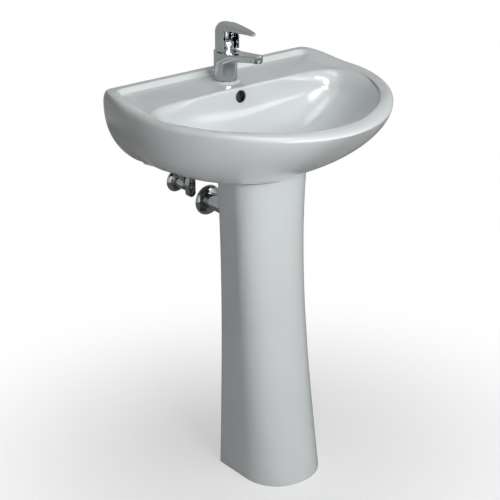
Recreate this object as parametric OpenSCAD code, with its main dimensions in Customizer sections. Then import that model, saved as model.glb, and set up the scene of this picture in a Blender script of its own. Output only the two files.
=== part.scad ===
// Pedestal wash basin with a one-lever mixer tap, click waste, bottle trap and two angle valves.
// X runs across the basin, +Y points at the wall, +Z is up. The floor is z = 0.

/* [Basin] */
// Overall width of the basin
basin_w = 560; // [540:5:600]
// Overall depth, wall to front rim
basin_d = 446; // [430:2:470]
// Height of the upstand above the floor
basin_h = 834; // [820:2:860]
// Height of the upstand above the deck
upstand_h = 11; // [8:1:14]
// Width of the rim beside the bowl
side_rim = 50; // [44:1:56]
// Width of the rim in front of the bowl
front_rim = 39; // [36:1:46]
// Depth of the bowl below its edge at the waste
bowl_depth = 122; // [112:1:126]
// Diameter of the overflow hole
overflow_d = 25; // [20:1:27]

/* [Pedestal] */
// Half width of the pedestal at the floor
foot_half_w = 86.7; // [82:0.1:92]
// How far the nose of the foot stands in front of the basin's middle
foot_nose = 98.2; // [90:0.2:106]
// Wall thickness of the pedestal
pedestal_wall = 12; // [10:0.5:13]

/* [Tap] */
// Radius of the tap's foot
tap_r = 23.5; // [22.5:0.1:24]
// Reach of the spout from the tap's axis to the aerator
spout_reach = 99; // [92:1:106]
// Reach of the lever from the tap's axis
lever_reach = 93; // [86:1:100]
// Distance of the tap's axis from the wall
tap_back = 65; // [62:1:68]

/* [Plumbing] */
// Drop from the top of the upstand to the angle valves
valve_drop = 229; // [222:1:249]
// Distance of each angle valve from the middle
valve_x = 82; // [76:1:100]
// Drop from the top of the upstand to the waste outlet
outlet_drop = 292; // [284:1:314]

/* [Hidden] */
$fn = 64;
eps = 0.01;
wall_y = basin_d / 2;

// outside of the basin: half width at the wall, line of greatest width, plan exponents
rim_half = basin_w / 2;
rim_back_half = rim_half - 23.5;
rim_wide_y = 62.6;
rim_front_p = 1.79;
rim_side_q = 2.27;
corner_r = 14;
// foot of the bulb, where it meets the pedestal
neck_half = 89.8;
neck_back_half = 169.7;
neck_wide_y = 50;
neck_front_y = -34;
neck_side_q = 0.673;
neck_front_p = 2.2;
neck_drop = 4.5;
bulb_h = 144.5;
neck_below = 172.5;
neck_z = basin_h - neck_below;
bulb_z = neck_z + neck_drop;
rim_z = basin_h - 24;
deck_z = basin_h - upstand_h;
deck_fall = 6.5;
nose_drop = 7;
shell_t = 12;

// bowl
bowl_half = rim_half - side_rim;
deck_depth = 114;
bowl_back_y = wall_y - deck_depth;
bowl_front_y = -wall_y + front_rim;
bowl_wide_y = 45;
bowl_front_p = 2.15;
bowl_back_p = 3;
waste_y = 25;
waste_z = deck_z - deck_fall - 1 - bowl_depth;
sump_t = 14;
waste_hole_r = 22;
recess_r = 33;
recess_t = 3;

// fixing holes in the back of the basin
stud_x = 140;
stud_z = basin_h - 62;
stud_hole_r = 8.5;
notch_half = 132;
notch_foot = 176;
notch_top = neck_z + 78;
tap_hole_r = 17.5;
tap_seat_r = 26.5;
deck_seat = 9;

// pedestal
ped_top = neck_z - 1.5;
ped_rear_y = 73.6;
ped_p = 2.2;

tap_y = wall_y - tap_back;
aer_y = tap_y - spout_reach;
tap_z = deck_z + 1;
valve_z = basin_h - valve_drop;
outlet_z = basin_h - outlet_drop;
body_top = deck_z + 58.5;
pivot_z = body_top + 1;

// mesh counts
n_back = 6;
n_corner = 3;
n_side = 7;
n_front = 12;

chrome = [0.78, 0.8, 0.82];
white = [0.94, 0.95, 0.95];
black = [0.12, 0.12, 0.13];
brass = [0.8, 0.66, 0.35];
copper = [0.8, 0.5, 0.36];
plastic = [0.85, 0.86, 0.86];

function lerp(a, b, t) = a + (b - a) * t;
function clamp01(t) = min(1, max(0, t));
function smooth(a, b, v) = let (t = clamp01((v - a) / (b - a))) t * t * (3 - 2 * t);
function ppow(v, e) = v <= 0 ? 0 : pow(v, e);

// ---- half outlines: from the middle of the back, round the right side, to the front middle ----

function side_x(half, back_half, yb, yw, q, y) = half - (half - back_half) * ppow((y - yw) / (yb - yw), q);

function half_ring(half, back_half, yb, yw, yf, p, q, rc) =
    let (x2 = side_x(half, back_half, yb, yw, q, yb - rc))
    concat(
        [for (i = [0 : n_back - 1]) [(back_half - rc) * pow(i / n_back, 0.9), yb]],
        [for (j = [0 : n_corner])
            let (t = j / n_corner)
            [(1 - t) * (1 - t) * (back_half - rc) + 2 * t * (1 - t) * back_half + t * t * x2,
             yb - t * t * rc]],
        [for (i = [1 : n_side])
            let (y = lerp(yb - rc, yw, i / n_side))
            [side_x(half, back_half, yb, yw, q, y), y]],
        [for (i = [1 : n_front])
            let (s = 90 * i / n_front)
            [i == n_front ? 0 : half * ppow(cos(s), 2 / p), yw + (yf - yw) * ppow(sin(s), 2 / p)]]
    );

n_half = n_back + n_corner + 1 + n_side + n_front;

// place of a point along the half outline: 0 at the wall, 0.5 at the widest, 1 at the front
function place(i) =
    let (k = i - (n_back + n_corner))
    k <= 0 ? 0 : k <= n_side ? 0.5 * k / n_side : 0.5 + 0.5 * (k - n_side) / n_front;

function three(a, b, c, u) = u < 0.5 ? lerp(a, b, 2 * u) : lerp(b, c, 2 * u - 1);

// share of the full outline that is left at depth t below the rim
function bulb_share(t, u) = ppow(1 - ppow(t, three(2.235, 2.477, 1.025, u)), three(1, 0.599, 0.785, u));

rim_line = half_ring(rim_half, rim_back_half, wall_y, rim_wide_y, -wall_y, rim_front_p, rim_side_q, corner_r);
neck_line = half_ring(neck_half, neck_back_half, wall_y, neck_wide_y, neck_front_y, neck_front_p, neck_side_q,
    corner_r);
rim_in = half_ring(rim_half - shell_t - 2, rim_back_half - shell_t, wall_y - shell_t, rim_wide_y,
    -wall_y + shell_t, rim_front_p, rim_side_q, corner_r);
neck_in = half_ring(neck_half - shell_t, neck_back_half - shell_t, wall_y - shell_t, neck_wide_y,
    neck_front_y + 20, neck_front_p, neck_side_q, corner_r);

function bulb_point(t, i, inner) =
    let (a = inner ? neck_in[i] : neck_line[i], b = inner ? rim_in[i] : rim_line[i])
    let (p = a + (b - a) * bulb_share(t, place(i)))
    let (top = nose_z(rim_line[i][1]))
    [p[0], p[1], top - (top - bulb_z) * t];

// ---- top of the basin ----

function back_share(y) = smooth(0.42 * wall_y, 0.94 * wall_y, y);
function crest_z(y) = basin_h - 8 - 11.5 * pow((wall_y - y) / basin_d, 1.5);
function crest(y) = lerp(crest_z(y), basin_h, back_share(y));
function edge_z(y) =
    deck_z - deck_fall * clamp01((wall_y - 27 - y) / (wall_y - 27 - bowl_back_y))
    - 3.3 * max(0, bowl_back_y - y) / (bowl_back_y - bowl_front_y);

// the rim rolls forward to a lower nose at the front, and its crest lies close to the bowl there
function nose_z(y) = rim_z - nose_drop * smooth(0.4 * wall_y, wall_y, -y);
function crest_d(y) = lerp(front_rim - 2, 12, clamp01((y + wall_y) / 113));

// height of the top at distance d inside the outer edge, for the outline point at height-line y
function top_z(y, d) =
    let (rd = lerp(crest_d(y), 6, back_share(y)), c = crest(y), n = nose_z(y))
    let (up = n + (c - n) * sqrt(max(0, 1 - pow(1 - clamp01(d / rd), 2))))
    let (down = lerp(smooth(rd, max(44, rd + 6), d), smooth(19, 27, d), smooth(wall_y - 34, wall_y - 2, y)))
    d < rd ? up : lerp(c, edge_z(y), down);

function top_ring(d) =
    let (h = half_ring(rim_half - d, rim_back_half - d, wall_y - d, rim_wide_y, -wall_y + d,
        rim_front_p, rim_side_q, corner_r))
    [for (i = [0 : n_half - 1]) [h[i][0], h[i][1], top_z(rim_line[i][1], d)]];

// point of the bowl's opening that faces the outline point, grown by g
function open_point(i, g) =
    let (dx = rim_line[i][0], dy = rim_line[i][1] - bowl_wide_y)
    let (a = bowl_half + g, back = dy > 0)
    let (b = back ? bowl_back_y + g - bowl_wide_y : bowl_wide_y - bowl_front_y + g)
    let (p = back ? bowl_back_p : bowl_front_p)
    let (k = pow(pow(abs(dx) / a, p) + pow(abs(dy) / b, p), -1 / p))
    [dx * k, bowl_wide_y + dy * k];

function open_ring(g, dz) =
    [for (i = [0 : n_half - 1]) let (p = open_point(i, g)) [p[0], p[1], edge_z(p[1]) - dz]];

function mid_ring(ra, rb, t) = [for (i = [0 : n_half - 1]) ra[i] + (rb[i] - ra[i]) * t];

// ---- bowl: f runs from 0 at the edge to 90 degrees at the waste ----

edge_drop = 5;
sump_r = 20;

function away(i) = let (v = open_point(i, 0) - [0, waste_y]) v / norm(v);

function bowl_point(i, f) =
    let (o = open_point(i, 0), w = [0, waste_y] + away(i) * sump_r)
    let (g = ppow(cos(f), three(1.6, 1.25, 1.5, place(i))))
    let (p = f >= 90 ? w : w + (o - w) * g)
    let (top = edge_z(o[1]) - edge_drop)
    [p[0], p[1], top - (top - waste_z) * sin(f)];

function bowl_ring(f) = [for (i = [0 : n_half - 1]) bowl_point(i, f)];

// the cast overflow duct makes the underside thicker behind the bowl's back wall
duct_half = 26;
duct_t = 15;
function duct(i, f) =
    rim_line[i][1] < wall_y - 1 ? 0 :
        duct_t * (1 - smooth(duct_half + 4, duct_half + 16, open_point(i, 0)[0])) * (1 - smooth(58, 82, f));

function under_point(i, f) =
    let (p = bowl_point(i, f), n = away(i), e = shell_t - 1 + duct(i, f))
    [p[0] + n[0] * e * cos(f), p[1] + n[1] * e * cos(f), p[2] - e * sin(f)];

// how far up the hollow between bowl and bulb goes, as an angle on the bowl
function roof_f(i) = three(2, 12, 56, place(i));
function under_ring(t) =
    [for (i = [0 : n_half - 1]) under_point(i, lerp(72, roof_f(i), t))];
function flat_ring(r, z) =
    [for (i = [0 : n_half - 1]) let (n = away(i)) [n[0] * r, waste_y + n[1] * r, z]];
function roof_t(i) =
    let (top = nose_z(rim_line[i][1]))
    clamp01((top - under_point(i, roof_f(i))[2]) / (top - bulb_z));
function skirt_ring(t) =
    [for (i = [0 : n_half - 1]) bulb_point(lerp(roof_t(i), 1, t), i, true)];
function outer_ring(t) = [for (i = [0 : n_half - 1]) bulb_point(t, i, false)];
function neck_ring(h) = [for (i = [0 : n_half - 1]) [h[i][0], h[i][1], neck_z]];

function mirror_ring(h) =
    concat(h, [for (i = [n_half - 2 : -1 : 1]) [-h[i][0], h[i][1], h[i][2]]]);

n_ring = 2 * n_half - 2;

// a closed skin through rings that end where they start
module ring_skin(rings) {
    n = len(rings);
    points = [for (r = rings) for (p = mirror_ring(r)) p];
    faces = [for (k = [0 : n - 1]) for (i = [0 : n_ring - 1])
        let (a = k * n_ring, b = ((k + 1) % n) * n_ring, j = (i + 1) % n_ring)
        for (f = [[a + i, b + j, b + i], [a + i, a + j, b + j]]) f];
    polyhedron(points = points, faces = faces, convexity = 10);
}

module basin_skin() {
    ring_skin(concat(
        [neck_ring(neck_line)],
        [for (t = [1, 0.985, 0.95, 0.89, 0.81, 0.7, 0.57, 0.42, 0.24, 0]) outer_ring(t)],
        [for (d = [1.2, 4, 8, 13, 18.5, 21, 23.5, 26, 30]) top_ring(d)],
        [mid_ring(top_ring(30), open_ring(4, 0), 0.5)],
        [open_ring(4, 0), open_ring(1.2, 1.5)],
        [for (f = [0, 12, 25, 38, 50, 61, 71, 80, 90]) bowl_ring(f)],
        [flat_ring(sump_r, waste_z - sump_t), flat_ring(36, waste_z - sump_t)],
        [for (t = [0, 0.25, 0.5, 0.75, 1]) under_ring(t)],
        [for (t = [0, 0.25, 0.5, 0.75, 1]) skirt_ring(t)],
        [neck_ring(neck_in)]
    ));
}

// side view of the hollow inside the overflow duct
module duct_profile() {
    near = [for (f = [8 : 11 : 74])
        let (p = bowl_point(0, f)) [p[1] + 6 * cos(f), p[2] - 6 * sin(f)]];
    far = [for (f = [74 : -11 : 8])
        let (p = bowl_point(0, f), e = shell_t - 6 + duct(0, f))
        [p[1] + e * cos(f), p[2] - e * sin(f)]];
    polygon(concat(near, [[waste_y + 18, waste_z - 5.5], [waste_y + 18, waste_z - 9.5]], far));
}

module along_y(x, y0, y1, z) {
    translate([x, y0, z])
        rotate([-90, 0, 0])
            linear_extrude(y1 - y0)
                children();
}

// pipe opening in the back wall, wider at the bottom
module notch() {
    polygon([[-notch_foot, neck_z - 1], [notch_foot, neck_z - 1], [notch_half, neck_z + 40],
        [notch_half, notch_top], [-notch_half, notch_top], [-notch_half, neck_z + 40]]);
}

module basin() {
    color(white)
        difference() {
            union() {
                basin_skin();
                translate([0, tap_y, deck_z - 8])
                    cylinder(h = 8, r1 = tap_seat_r + 6, r2 = tap_seat_r);
            }
            translate([0, tap_y, deck_z - 30])
                cylinder(h = 60, r = tap_hole_r);
            translate([0, tap_y, deck_z - deck_seat - 20])
                cylinder(h = 20, r = 24);
            translate([0, waste_y, waste_z - 30])
                cylinder(h = 60, r = waste_hole_r);
            translate([0, waste_y, waste_z - recess_t])
                cylinder(h = 20, r = recess_r);
            for (s = [-1, 1])
                translate([s * stud_x, wall_y - 30, stud_z])
                    rotate([-90, 0, 0])
                        cylinder(h = 40, r = stud_hole_r);
            translate([0, wall_y - 25, 0])
                rotate([90, 0, 180])
                    linear_extrude(50)
                        notch();
            translate([0, bowl_back_y - 20, deck_z - 25])
                rotate([-90, 0, 0])
                    cylinder(h = 31, r = overflow_d / 2);
            translate([-duct_half + 8, 0, 0])
                rotate([90, 0, 90])
                    linear_extrude(2 * duct_half - 16)
                        duct_profile();
        }
}

// ---- pedestal: a hollow column, open at the back ----

ped_levels = 13;
ped_lead = 3;
n_ped_side = 4;
n_ped_front = 14;

// half width and nose of the column at height share v (0 floor, 1 top)
function ped_half(v) = foot_half_w - 18.32 * v + 4.07 * v * v + 15.12 * v * v * v;
function ped_nose(v) = -foot_nose + 110.8 * v + 11.6 * v * v - 52.85 * v * v * v;

function ped_half_line(half, rear, nose) =
    let (wide = (ped_rear_y + nose) / 2)
    concat(
        [for (i = [0 : n_ped_side - 1]) [half, lerp(rear, wide, i / n_ped_side)]],
        [for (i = [0 : n_ped_front])
            let (s = 90 * i / n_ped_front)
            [i == n_ped_front ? 0 : half * ppow(cos(s), 2 / ped_p), wide + (nose - wide) * ppow(sin(s), 2 / ped_p)]]
    );

function left_right(h) = concat(h, [for (i = [len(h) - 2 : -1 : 0]) [-h[i][0], h[i][1]]]);

function ped_outer(v) = left_right(ped_half_line(ped_half(v), ped_rear_y, ped_nose(v)));
function ped_inner(v) =
    left_right(ped_half_line(ped_half(v) - pedestal_wall, ped_rear_y, ped_nose(v) + pedestal_wall));

// wall of the column as one skin; the rear edges of the wall are rounded
module column_skin(z0, z1) {
    n = len(ped_outer(0));
    per = 2 * n + 2;
    points = [for (k = [0 : ped_levels])
        let (z = lerp(z0, z1, k / ped_levels), v = z / (neck_z - 11.5))
        let (o = ped_outer(v), q = ped_inner(v), bulge = pedestal_wall / 4)
        for (p = concat(o, [[(o[n - 1][0] + q[n - 1][0]) / 2, ped_rear_y + bulge]],
            [for (i = [n - 1 : -1 : 0]) q[i]], [[(o[0][0] + q[0][0]) / 2, ped_rear_y + bulge]]))
            [p[0], p[1], z]];
    sides = [for (k = [0 : ped_levels - 1]) for (i = [0 : per - 1])
        let (a = k * per, b = a + per, j = (i + 1) % per)
        for (f = [[a + i, b + j, b + i], [a + i, a + j, b + j]]) f];
    top = ped_levels * per;
    caps = [for (i = [0 : n - 2])
        let (o = i, q = 2 * n - i)
        for (f = [[o, q, q - 1], [o, q - 1, o + 1], [top + o, top + q - 1, top + q],
            [top + o, top + o + 1, top + q - 1]]) f];
    ends = [[0, per - 1, 2 * n], [top, top + 2 * n, top + per - 1],
        [n - 1, n + 1, n], [top + n - 1, top + n, top + n + 1]];
    polyhedron(points = points, faces = concat(sides, caps, ends), convexity = 8);
}

floor_screw_x = 52;
floor_screw_y = 50;
lug_t = 15;
lug_r = 13;

// cast foot with a screw hole, joined to the inside of the wall
module foot_lug(s) {
    translate([s * floor_screw_x, floor_screw_y, 0])
        cylinder(h = lug_t, r = lug_r);
    translate([s > 0 ? floor_screw_x : -floor_screw_x - 27, floor_screw_y - lug_r, 0])
        cube([27, 2 * lug_r, lug_t]);
}

module pedestal() {
    color(white)
        difference() {
            union() {
                column_skin(-ped_lead, ped_top + ped_lead);
                foot_lug(1);
                foot_lug(-1);
            }
            translate([-200, -200, -50])
                cube([400, 400, 50]);
            translate([-200, -200, ped_top])
                cube([400, 400, 50]);
            for (s = [-1, 1])
                translate([s * floor_screw_x, floor_screw_y, -1])
                    cylinder(h = lug_t + 2, r = 4);
        }
}

// soft strip between pedestal and basin, set back from both edges
module pedestal_seal() {
    v = 0.985;
    inset = 3;
    strip = 5;
    outer = left_right(ped_half_line(ped_half(v) - inset, ped_rear_y - 4, ped_nose(v) + inset));
    inner = left_right(ped_half_line(ped_half(v) - inset - strip, ped_rear_y - 4, ped_nose(v) + inset + strip));
    n = len(outer);
    color(plastic)
        translate([0, 0, ped_top])
            linear_extrude(1.5)
                polygon(concat(outer, [for (i = [n - 1 : -1 : 0]) inner[i]]));
}

module floor_screw(s) {
    color(chrome)
        translate([s * floor_screw_x, floor_screw_y, 0])
            rotate_extrude()
                polygon([[0, 0], [3, 0], [3, lug_t], [9, lug_t], [9, lug_t + 1.5], [7, lug_t + 4],
                    [4, lug_t + 5.2], [0, lug_t + 5.6]]);
}

// ---- wall fixing ----

bush_y = wall_y - shell_t;

module turned(x, y, z) {
    translate([x, y, z])
        rotate([90, 0, 0])
            rotate_extrude()
                children();
}

module wall_stud(s) {
    color(chrome)
        turned(s * stud_x, wall_y, stud_z)
            polygon([[0, 0], [5, 0], [5, 33], [4, 34], [0, 34]]);
}

module wall_bush(s) {
    color(plastic)
        turned(s * stud_x, wall_y, stud_z)
            polygon([[5.2, 0.5], [stud_hole_r - 0.2, 0.5], [stud_hole_r - 0.2, shell_t], [15, shell_t],
                [15, shell_t + 2], [13, shell_t + 4], [5.2, shell_t + 4]]);
}

module wall_nut(s) {
    color(chrome)
        difference() {
            union() {
                turned(s * stud_x, wall_y - shell_t - 4, stud_z)
                    polygon([[4, 0], [11, 0], [11, 2], [4, 2]]);
                translate([s * stud_x, wall_y - shell_t - 6, stud_z])
                    rotate([90, 0, 0])
                        cylinder(h = 8, r = 9.4, $fn = 6);
            }
            translate([s * stud_x, wall_y, stud_z])
                rotate([90, 0, 0])
                    cylinder(h = 60, r = 5.05);
        }
}

// ---- mixer tap ----

casting_r = tap_r + 0.6;
cart_r = 17.6;
cart_floor = body_top - 24;
spout_tip_r = 12.2;
belly_in = 3.5;
aer_z = deck_z + 56;
aer_bore_r = 11;
aer_bore_h = 9.6;
spout_slope = 0.135;
waterway_r = 3.8;
spout_root_y = tap_y - 24;
tail_gap = 9.5;
tail_y = tap_y + 4;
tap_stud_y = tap_y - 9;

function spout_top(y) = body_top + spout_slope * max(0, spout_root_y - y);

module tap_plan(root, tip) {
    translate([0, tap_y])
        circle(r = root);
    translate([0, aer_y])
        circle(r = tip);
    polygon([[root, tap_y], [tip, aer_y], [-tip, aer_y], [-root, tap_y]]);
}

// side outline of the upper casting: its lower edge sweeps up from the back like an arch;
// a second, narrower one hangs lower and makes the belly of the spout
module casting_side(low) {
    foot = [tap_y + 16 - low, deck_z];
    knee = [tap_y - 1 - low, deck_z + 47 - low];
    shoulder = [tap_y - 45, deck_z + 54 - low];
    polygon(concat(
        [[tap_y + 40, deck_z], foot],
        [for (i = [1 : 12])
            let (t = i / 12)
            foot * (1 - t) * (1 - t) + knee * 2 * t * (1 - t) + shoulder * t * t],
        [[aer_y + 10, deck_z + 60 - low * 0.9], [aer_y - 20, deck_z + 64 - low * 0.9]],
        [[aer_y - 20, spout_top(aer_y - 20)], [spout_root_y, body_top], [tap_y + 40, body_top]]
    ));
}

module slab_x(w) {
    translate([-w / 2, 0, 0])
        rotate([90, 0, 90])
            linear_extrude(w)
                children();
}

module casting(in, low) {
    intersection() {
        translate([0, 0, deck_z])
            linear_extrude(120)
                tap_plan(casting_r - in, spout_tip_r - in);
        slab_x(80)
            casting_side(low);
    }
}

module tap_body() {
    color(chrome)
        difference() {
            union() {
                translate([0, tap_y, tap_z])
                    cylinder(h = body_top - tap_z - 6, r = tap_r);
                difference() {
                    union() {
                        casting(0, 0);
                        casting(belly_in, 7);
                    }
                    translate([0, tap_y, deck_z - 1])
                        cylinder(h = 2, r = 40);
                }
                translate([0, aer_y, aer_z])
                    cylinder(h = 10, r = aer_bore_r + 1);
            }
            translate([0, tap_y, cart_floor])
                cylinder(h = 60, r = cart_r);
            for (s = [-1, 1])
                translate([s * tail_gap, tail_y, tap_z - 1])
                    cylinder(h = cart_floor - tap_z + 2, r = 5.1);
            translate([0, tap_stud_y, tap_z - 1])
                cylinder(h = 22, r = 4.05);
            translate([0, aer_y, aer_z - 1])
                cylinder(h = aer_bore_h + 1, r = aer_bore_r);
            translate([0, aer_y - 1, deck_z + 61])
                rotate([-96.3, 0, 0])
                    cylinder(h = spout_reach - 12, r = waterway_r);
        }
}

module tap_base_seal() {
    color(black)
        translate([0, tap_y, deck_z])
            rotate_extrude()
                polygon([[17.8, 0], [tap_r - 0.6, 0], [tap_r - 0.6, 1], [17.8, 1]]);
}

module tap_stud() {
    color(brass)
        translate([0, tap_stud_y, deck_z - 52])
            cylinder(h = 72, r = 4);
}

clamp_z = deck_z - deck_seat - 2.2;

module horseshoe(r, h) {
    difference() {
        cylinder(h = h, r = r);
        translate([-tail_gap - 6, -2, -1])
            cube([2 * tail_gap + 12, 60, h + 2]);
        translate([0, tap_stud_y - tap_y, -1])
            cylinder(h = h + 2, r = 4.3);
    }
}

module tap_pad() {
    color(black)
        translate([0, tap_y, clamp_z])
            horseshoe(22, 2.2);
}

module tap_clamp() {
    color(chrome)
        translate([0, tap_y, clamp_z - 2.5])
            horseshoe(21, 2.5);
}

module tap_nut() {
    color(brass)
        difference() {
            translate([0, tap_stud_y, clamp_z - 2.5 - 16])
                cylinder(h = 16, r = 7, $fn = 6);
            translate([0, tap_stud_y, clamp_z - 40])
                cylinder(h = 60, r = 4.05);
        }
}

// bent copper tail from the tap down to one valve
tail_r = 5;
tail_bend = 24;
valve_y = wall_y - 26;
tail_z0 = valve_z + 31;
tail_z1 = deck_z - 84;

tail_sides = 20;
tail_steps = 6;
tail_tilt = 58;

// stations of a tail in its own upright plane: [distance out, height, lean from the vertical]
function tail_path(run) =
    let (straight = (run - 2 * tail_bend * (1 - cos(tail_tilt))) / sin(tail_tilt))
    let (low_z = tail_z1 - 2 * tail_bend * sin(tail_tilt) - straight * cos(tail_tilt))
    concat(
        [[0, cart_floor - 6, 0]],
        [for (i = [0 : tail_steps])
            let (a = tail_tilt * i / tail_steps)
            [tail_bend * (1 - cos(a)), tail_z1 - tail_bend * sin(a), a]],
        [for (i = [tail_steps : -1 : 0])
            let (a = tail_tilt * i / tail_steps)
            [run - tail_bend * (1 - cos(a)), low_z + tail_bend * sin(a), a]],
        [[run, tail_z0, 0]]
    );

// round bar swept through the stations
module tail_sweep(path) {
    n = len(path);
    k = tail_sides;
    points = [for (p = path) for (j = [0 : k - 1])
        let (b = 360 * j / k)
        [p[0] + tail_r * cos(b) * cos(p[2]), tail_r * sin(b), p[1] + tail_r * cos(b) * sin(p[2])]];
    sides = [for (i = [0 : n - 2]) for (j = [0 : k - 1])
        let (c = (j + 1) % k)
        for (f = [[i * k + j, i * k + c, i * k + k + c], [i * k + j, i * k + k + c, i * k + k + j]]) f];
    polyhedron(points = points, faces = concat(sides,
        [[for (j = [k - 1 : -1 : 0]) j]], [[for (j = [0 : k - 1]) (n - 1) * k + j]]), convexity = 4);
}

module tap_tail(s) {
    dx = valve_x - tail_gap;
    dy = valve_y - tail_y;
    color(copper)
        translate([s * tail_gap, tail_y, 0])
            rotate([0, 0, atan2(dy, s * dx)])
                tail_sweep(tail_path(sqrt(dx * dx + dy * dy)));
}

module cartridge_body() {
    color(plastic)
        translate([0, tap_y, cart_floor])
            rotate_extrude()
                polygon([[0, 0], [cart_r - 0.1, 0], [cart_r - 0.1, 20], [12.06, 20], [12.06, 10], [0, 10]]);
}

// the turning part of the cartridge; the stem is pinned across it
module cartridge_turntable() {
    color(plastic)
        difference() {
            translate([0, tap_y, cart_floor + 10.1])
                cylinder(h = 17.9, r = 12);
            translate([-4.1, tap_y - 8, cart_floor + 12])
                cube([8.2, 16, 30]);
            translate([-20, tap_y, pivot_z])
                rotate([0, 90, 0])
                    cylinder(h = 40, r = 2.05);
        }
}

module cartridge_pin() {
    color(brass)
        translate([-11, tap_y, pivot_z])
            rotate([0, 90, 0])
                cylinder(h = 22, r = 2);
}

module cartridge_nut() {
    color(brass)
        translate([0, tap_y, cart_floor + 20])
            rotate_extrude()
                polygon([[12.4, 0], [cart_r - 0.1, 0], [cart_r - 0.1, 3.8], [12.4, 3.8]]);
}

// fixed dome over the cartridge, open at the top for the stem
module cartridge_dome() {
    dome_r = 17.2;
    hole = 12.6;
    wall = 1.2;
    outer = [for (i = [0 : 8]) let (a = 8 * i) [dome_r * cos(a * 0.66), 12 + 14 * sin(a)]];
    inner = [for (i = [7 : -1 : 0]) let (a = 8 * i) [(dome_r - wall) * cos(a * 0.66), 12 + 14 * sin(a) - wall]];
    color(chrome)
        translate([0, tap_y, body_top])
            rotate_extrude()
                polygon(concat([[dome_r, 0]], outer, [[hole, 12 + 14 * sin(64)], [hole, 12 + 14 * sin(64) - wall]],
                    inner, [[dome_r - wall, 0]]));
}

stem_top = body_top + 45;

module cartridge_stem() {
    color(brass)
        difference() {
            translate([-4, tap_y - 4, pivot_z - 6])
                cube([8, 8, stem_top - pivot_z + 6]);
            translate([-20, tap_y, pivot_z])
                rotate([0, 90, 0])
                    cylinder(h = 40, r = 2.05);
        }
}

// ---- lever: a hood over the dome, drawn out into a tongue ----

lever_tip_y = tap_y - lever_reach;
lever_tip_r = 7.5;
hood_r = 21.2;
hood_in = 18.1;
lever_peak = deck_z + 116.6;
roof_z = body_top + 47;
hood_side_h = 38;
hood_round = 18;

function lever_top(y) = lever_peak - 0.00106 * (y - (tap_y - 13)) * (y - (tap_y - 13));

module lever_side() {
    lip_z = body_top + 0.4;
    lift = 0.27;
    front_y = tap_y - 18;
    back_y = tap_y + hood_r + 4;
    polygon(concat(
        [[back_y, lip_z + lift * (back_y - tap_y)], [back_y, lever_top(back_y)]],
        [for (i = [0 : 12]) let (y = lerp(back_y, lever_tip_y - 2, i / 12)) [y, lever_top(y)]],
        [[lever_tip_y - 2, lever_top(lever_tip_y) - 3.6], [lever_tip_y + 14, roof_z + 1.4],
         [front_y - 6, roof_z], [front_y - 1.5, roof_z - 1.5], [front_y, roof_z - 6],
         [front_y, lip_z + lift * 18], [tap_y, lip_z]]
    ));
}

// the hood's side rises straight and rounds over to the peak
module hood_dome() {
    steps = 10;
    rise = lever_peak + 1 - body_top - hood_side_h;
    translate([0, 0, body_top])
        rotate_extrude()
            polygon(concat(
                [[0, 0], [hood_r + eps, 0]],
                [for (i = [0 : steps])
                    let (a = 90 * i / steps)
                    [hood_r + eps - hood_round * (1 - cos(a)), hood_side_h + rise * sin(a)]],
                [[0, hood_side_h + rise]]
            ));
}

// hood and tongue in one: the dome drawn out to the tip
module lever_form() {
    hull() {
        translate([0, tap_y, 0])
            hood_dome();
        translate([0, tap_y - 14, 0])
            hood_dome();
    }
    hull() {
        translate([0, tap_y - 14, lever_peak - 26])
            cylinder(h = 27, r1 = hood_r, r2 = hood_r - 9);
        translate([0, lever_tip_y + lever_tip_r, lever_peak - 26])
            cylinder(h = 27, r1 = lever_tip_r, r2 = lever_tip_r - 2);
    }
}

module lever() {
    color(chrome)
        difference() {
            intersection() {
                lever_form();
                slab_x(80)
                    lever_side();
            }
            difference() {
                translate([0, 0, body_top - 10])
                    linear_extrude(roof_z - body_top + 10) {
                        translate([0, tap_y])
                            circle(r = hood_in);
                        translate([-hood_in, tap_y - 60])
                            square([2 * hood_in, 60]);
                    }
                translate([0, tap_y, body_top + 31])
                    cylinder(h = 20, r = 8);
            }
            translate([-4.03, tap_y - 4.03, body_top])
                cube([8.06, 8.06, stem_top - body_top + 0.2]);
            translate([0, tap_y, body_top + 37])
                rotate([-90, 0, 0])
                    cylinder(h = 40, r = 2.6);
            translate([0, tap_y + hood_in - 1, body_top + 37])
                rotate([-90, 0, 0])
                    cylinder(h = 10, r = 4.2);
        }
}

module lever_screw() {
    color(chrome)
        translate([0, tap_y + 4.1, body_top + 37])
            rotate([-90, 0, 0])
                cylinder(h = 11, r = 2.5);
}

module index_button() {
    color([0.2, 0.35, 0.75])
        translate([0, tap_y + hood_in - 0.6, body_top + 37])
            rotate([-90, 0, 0])
                cylinder(h = 3.7, r = 4.1);
}

// ---- aerator ----

module aerator_housing() {
    color(chrome)
        translate([0, aer_y, aer_z - 1])
            rotate_extrude()
                polygon([[8.2, 0], [10.2, 0], [10.9, 0.8], [10.9, 9], [9, 9], [9, 3.4], [8.2, 3.4]]);
}

module aerator_insert() {
    holes = 8;
    color(plastic)
        translate([0, aer_y, aer_z + 2.4])
            difference() {
                cylinder(h = 5, r = 8.9);
                for (ring = [3, 6.2])
                    for (i = [0 : holes - 1])
                        rotate([0, 0, 360 * i / holes])
                            translate([ring, 0, -1])
                                cylinder(h = 7, r = 0.9);
            }
}

module aerator_seal() {
    color(black)
        translate([0, aer_y, aer_z + 8])
            rotate_extrude()
                polygon([[6.4, 0], [10.6, 0], [10.6, 1.5], [6.4, 1.5]]);
}

// ---- waste ----

seat_z = waste_z - recess_t;
under_z = waste_z - sump_t;
tube_r = 19.5;
tailpiece_r = 16;
plug_lift = 8;

module around_waste(z) {
    translate([0, waste_y, z])
        rotate_extrude()
            children();
}

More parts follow.
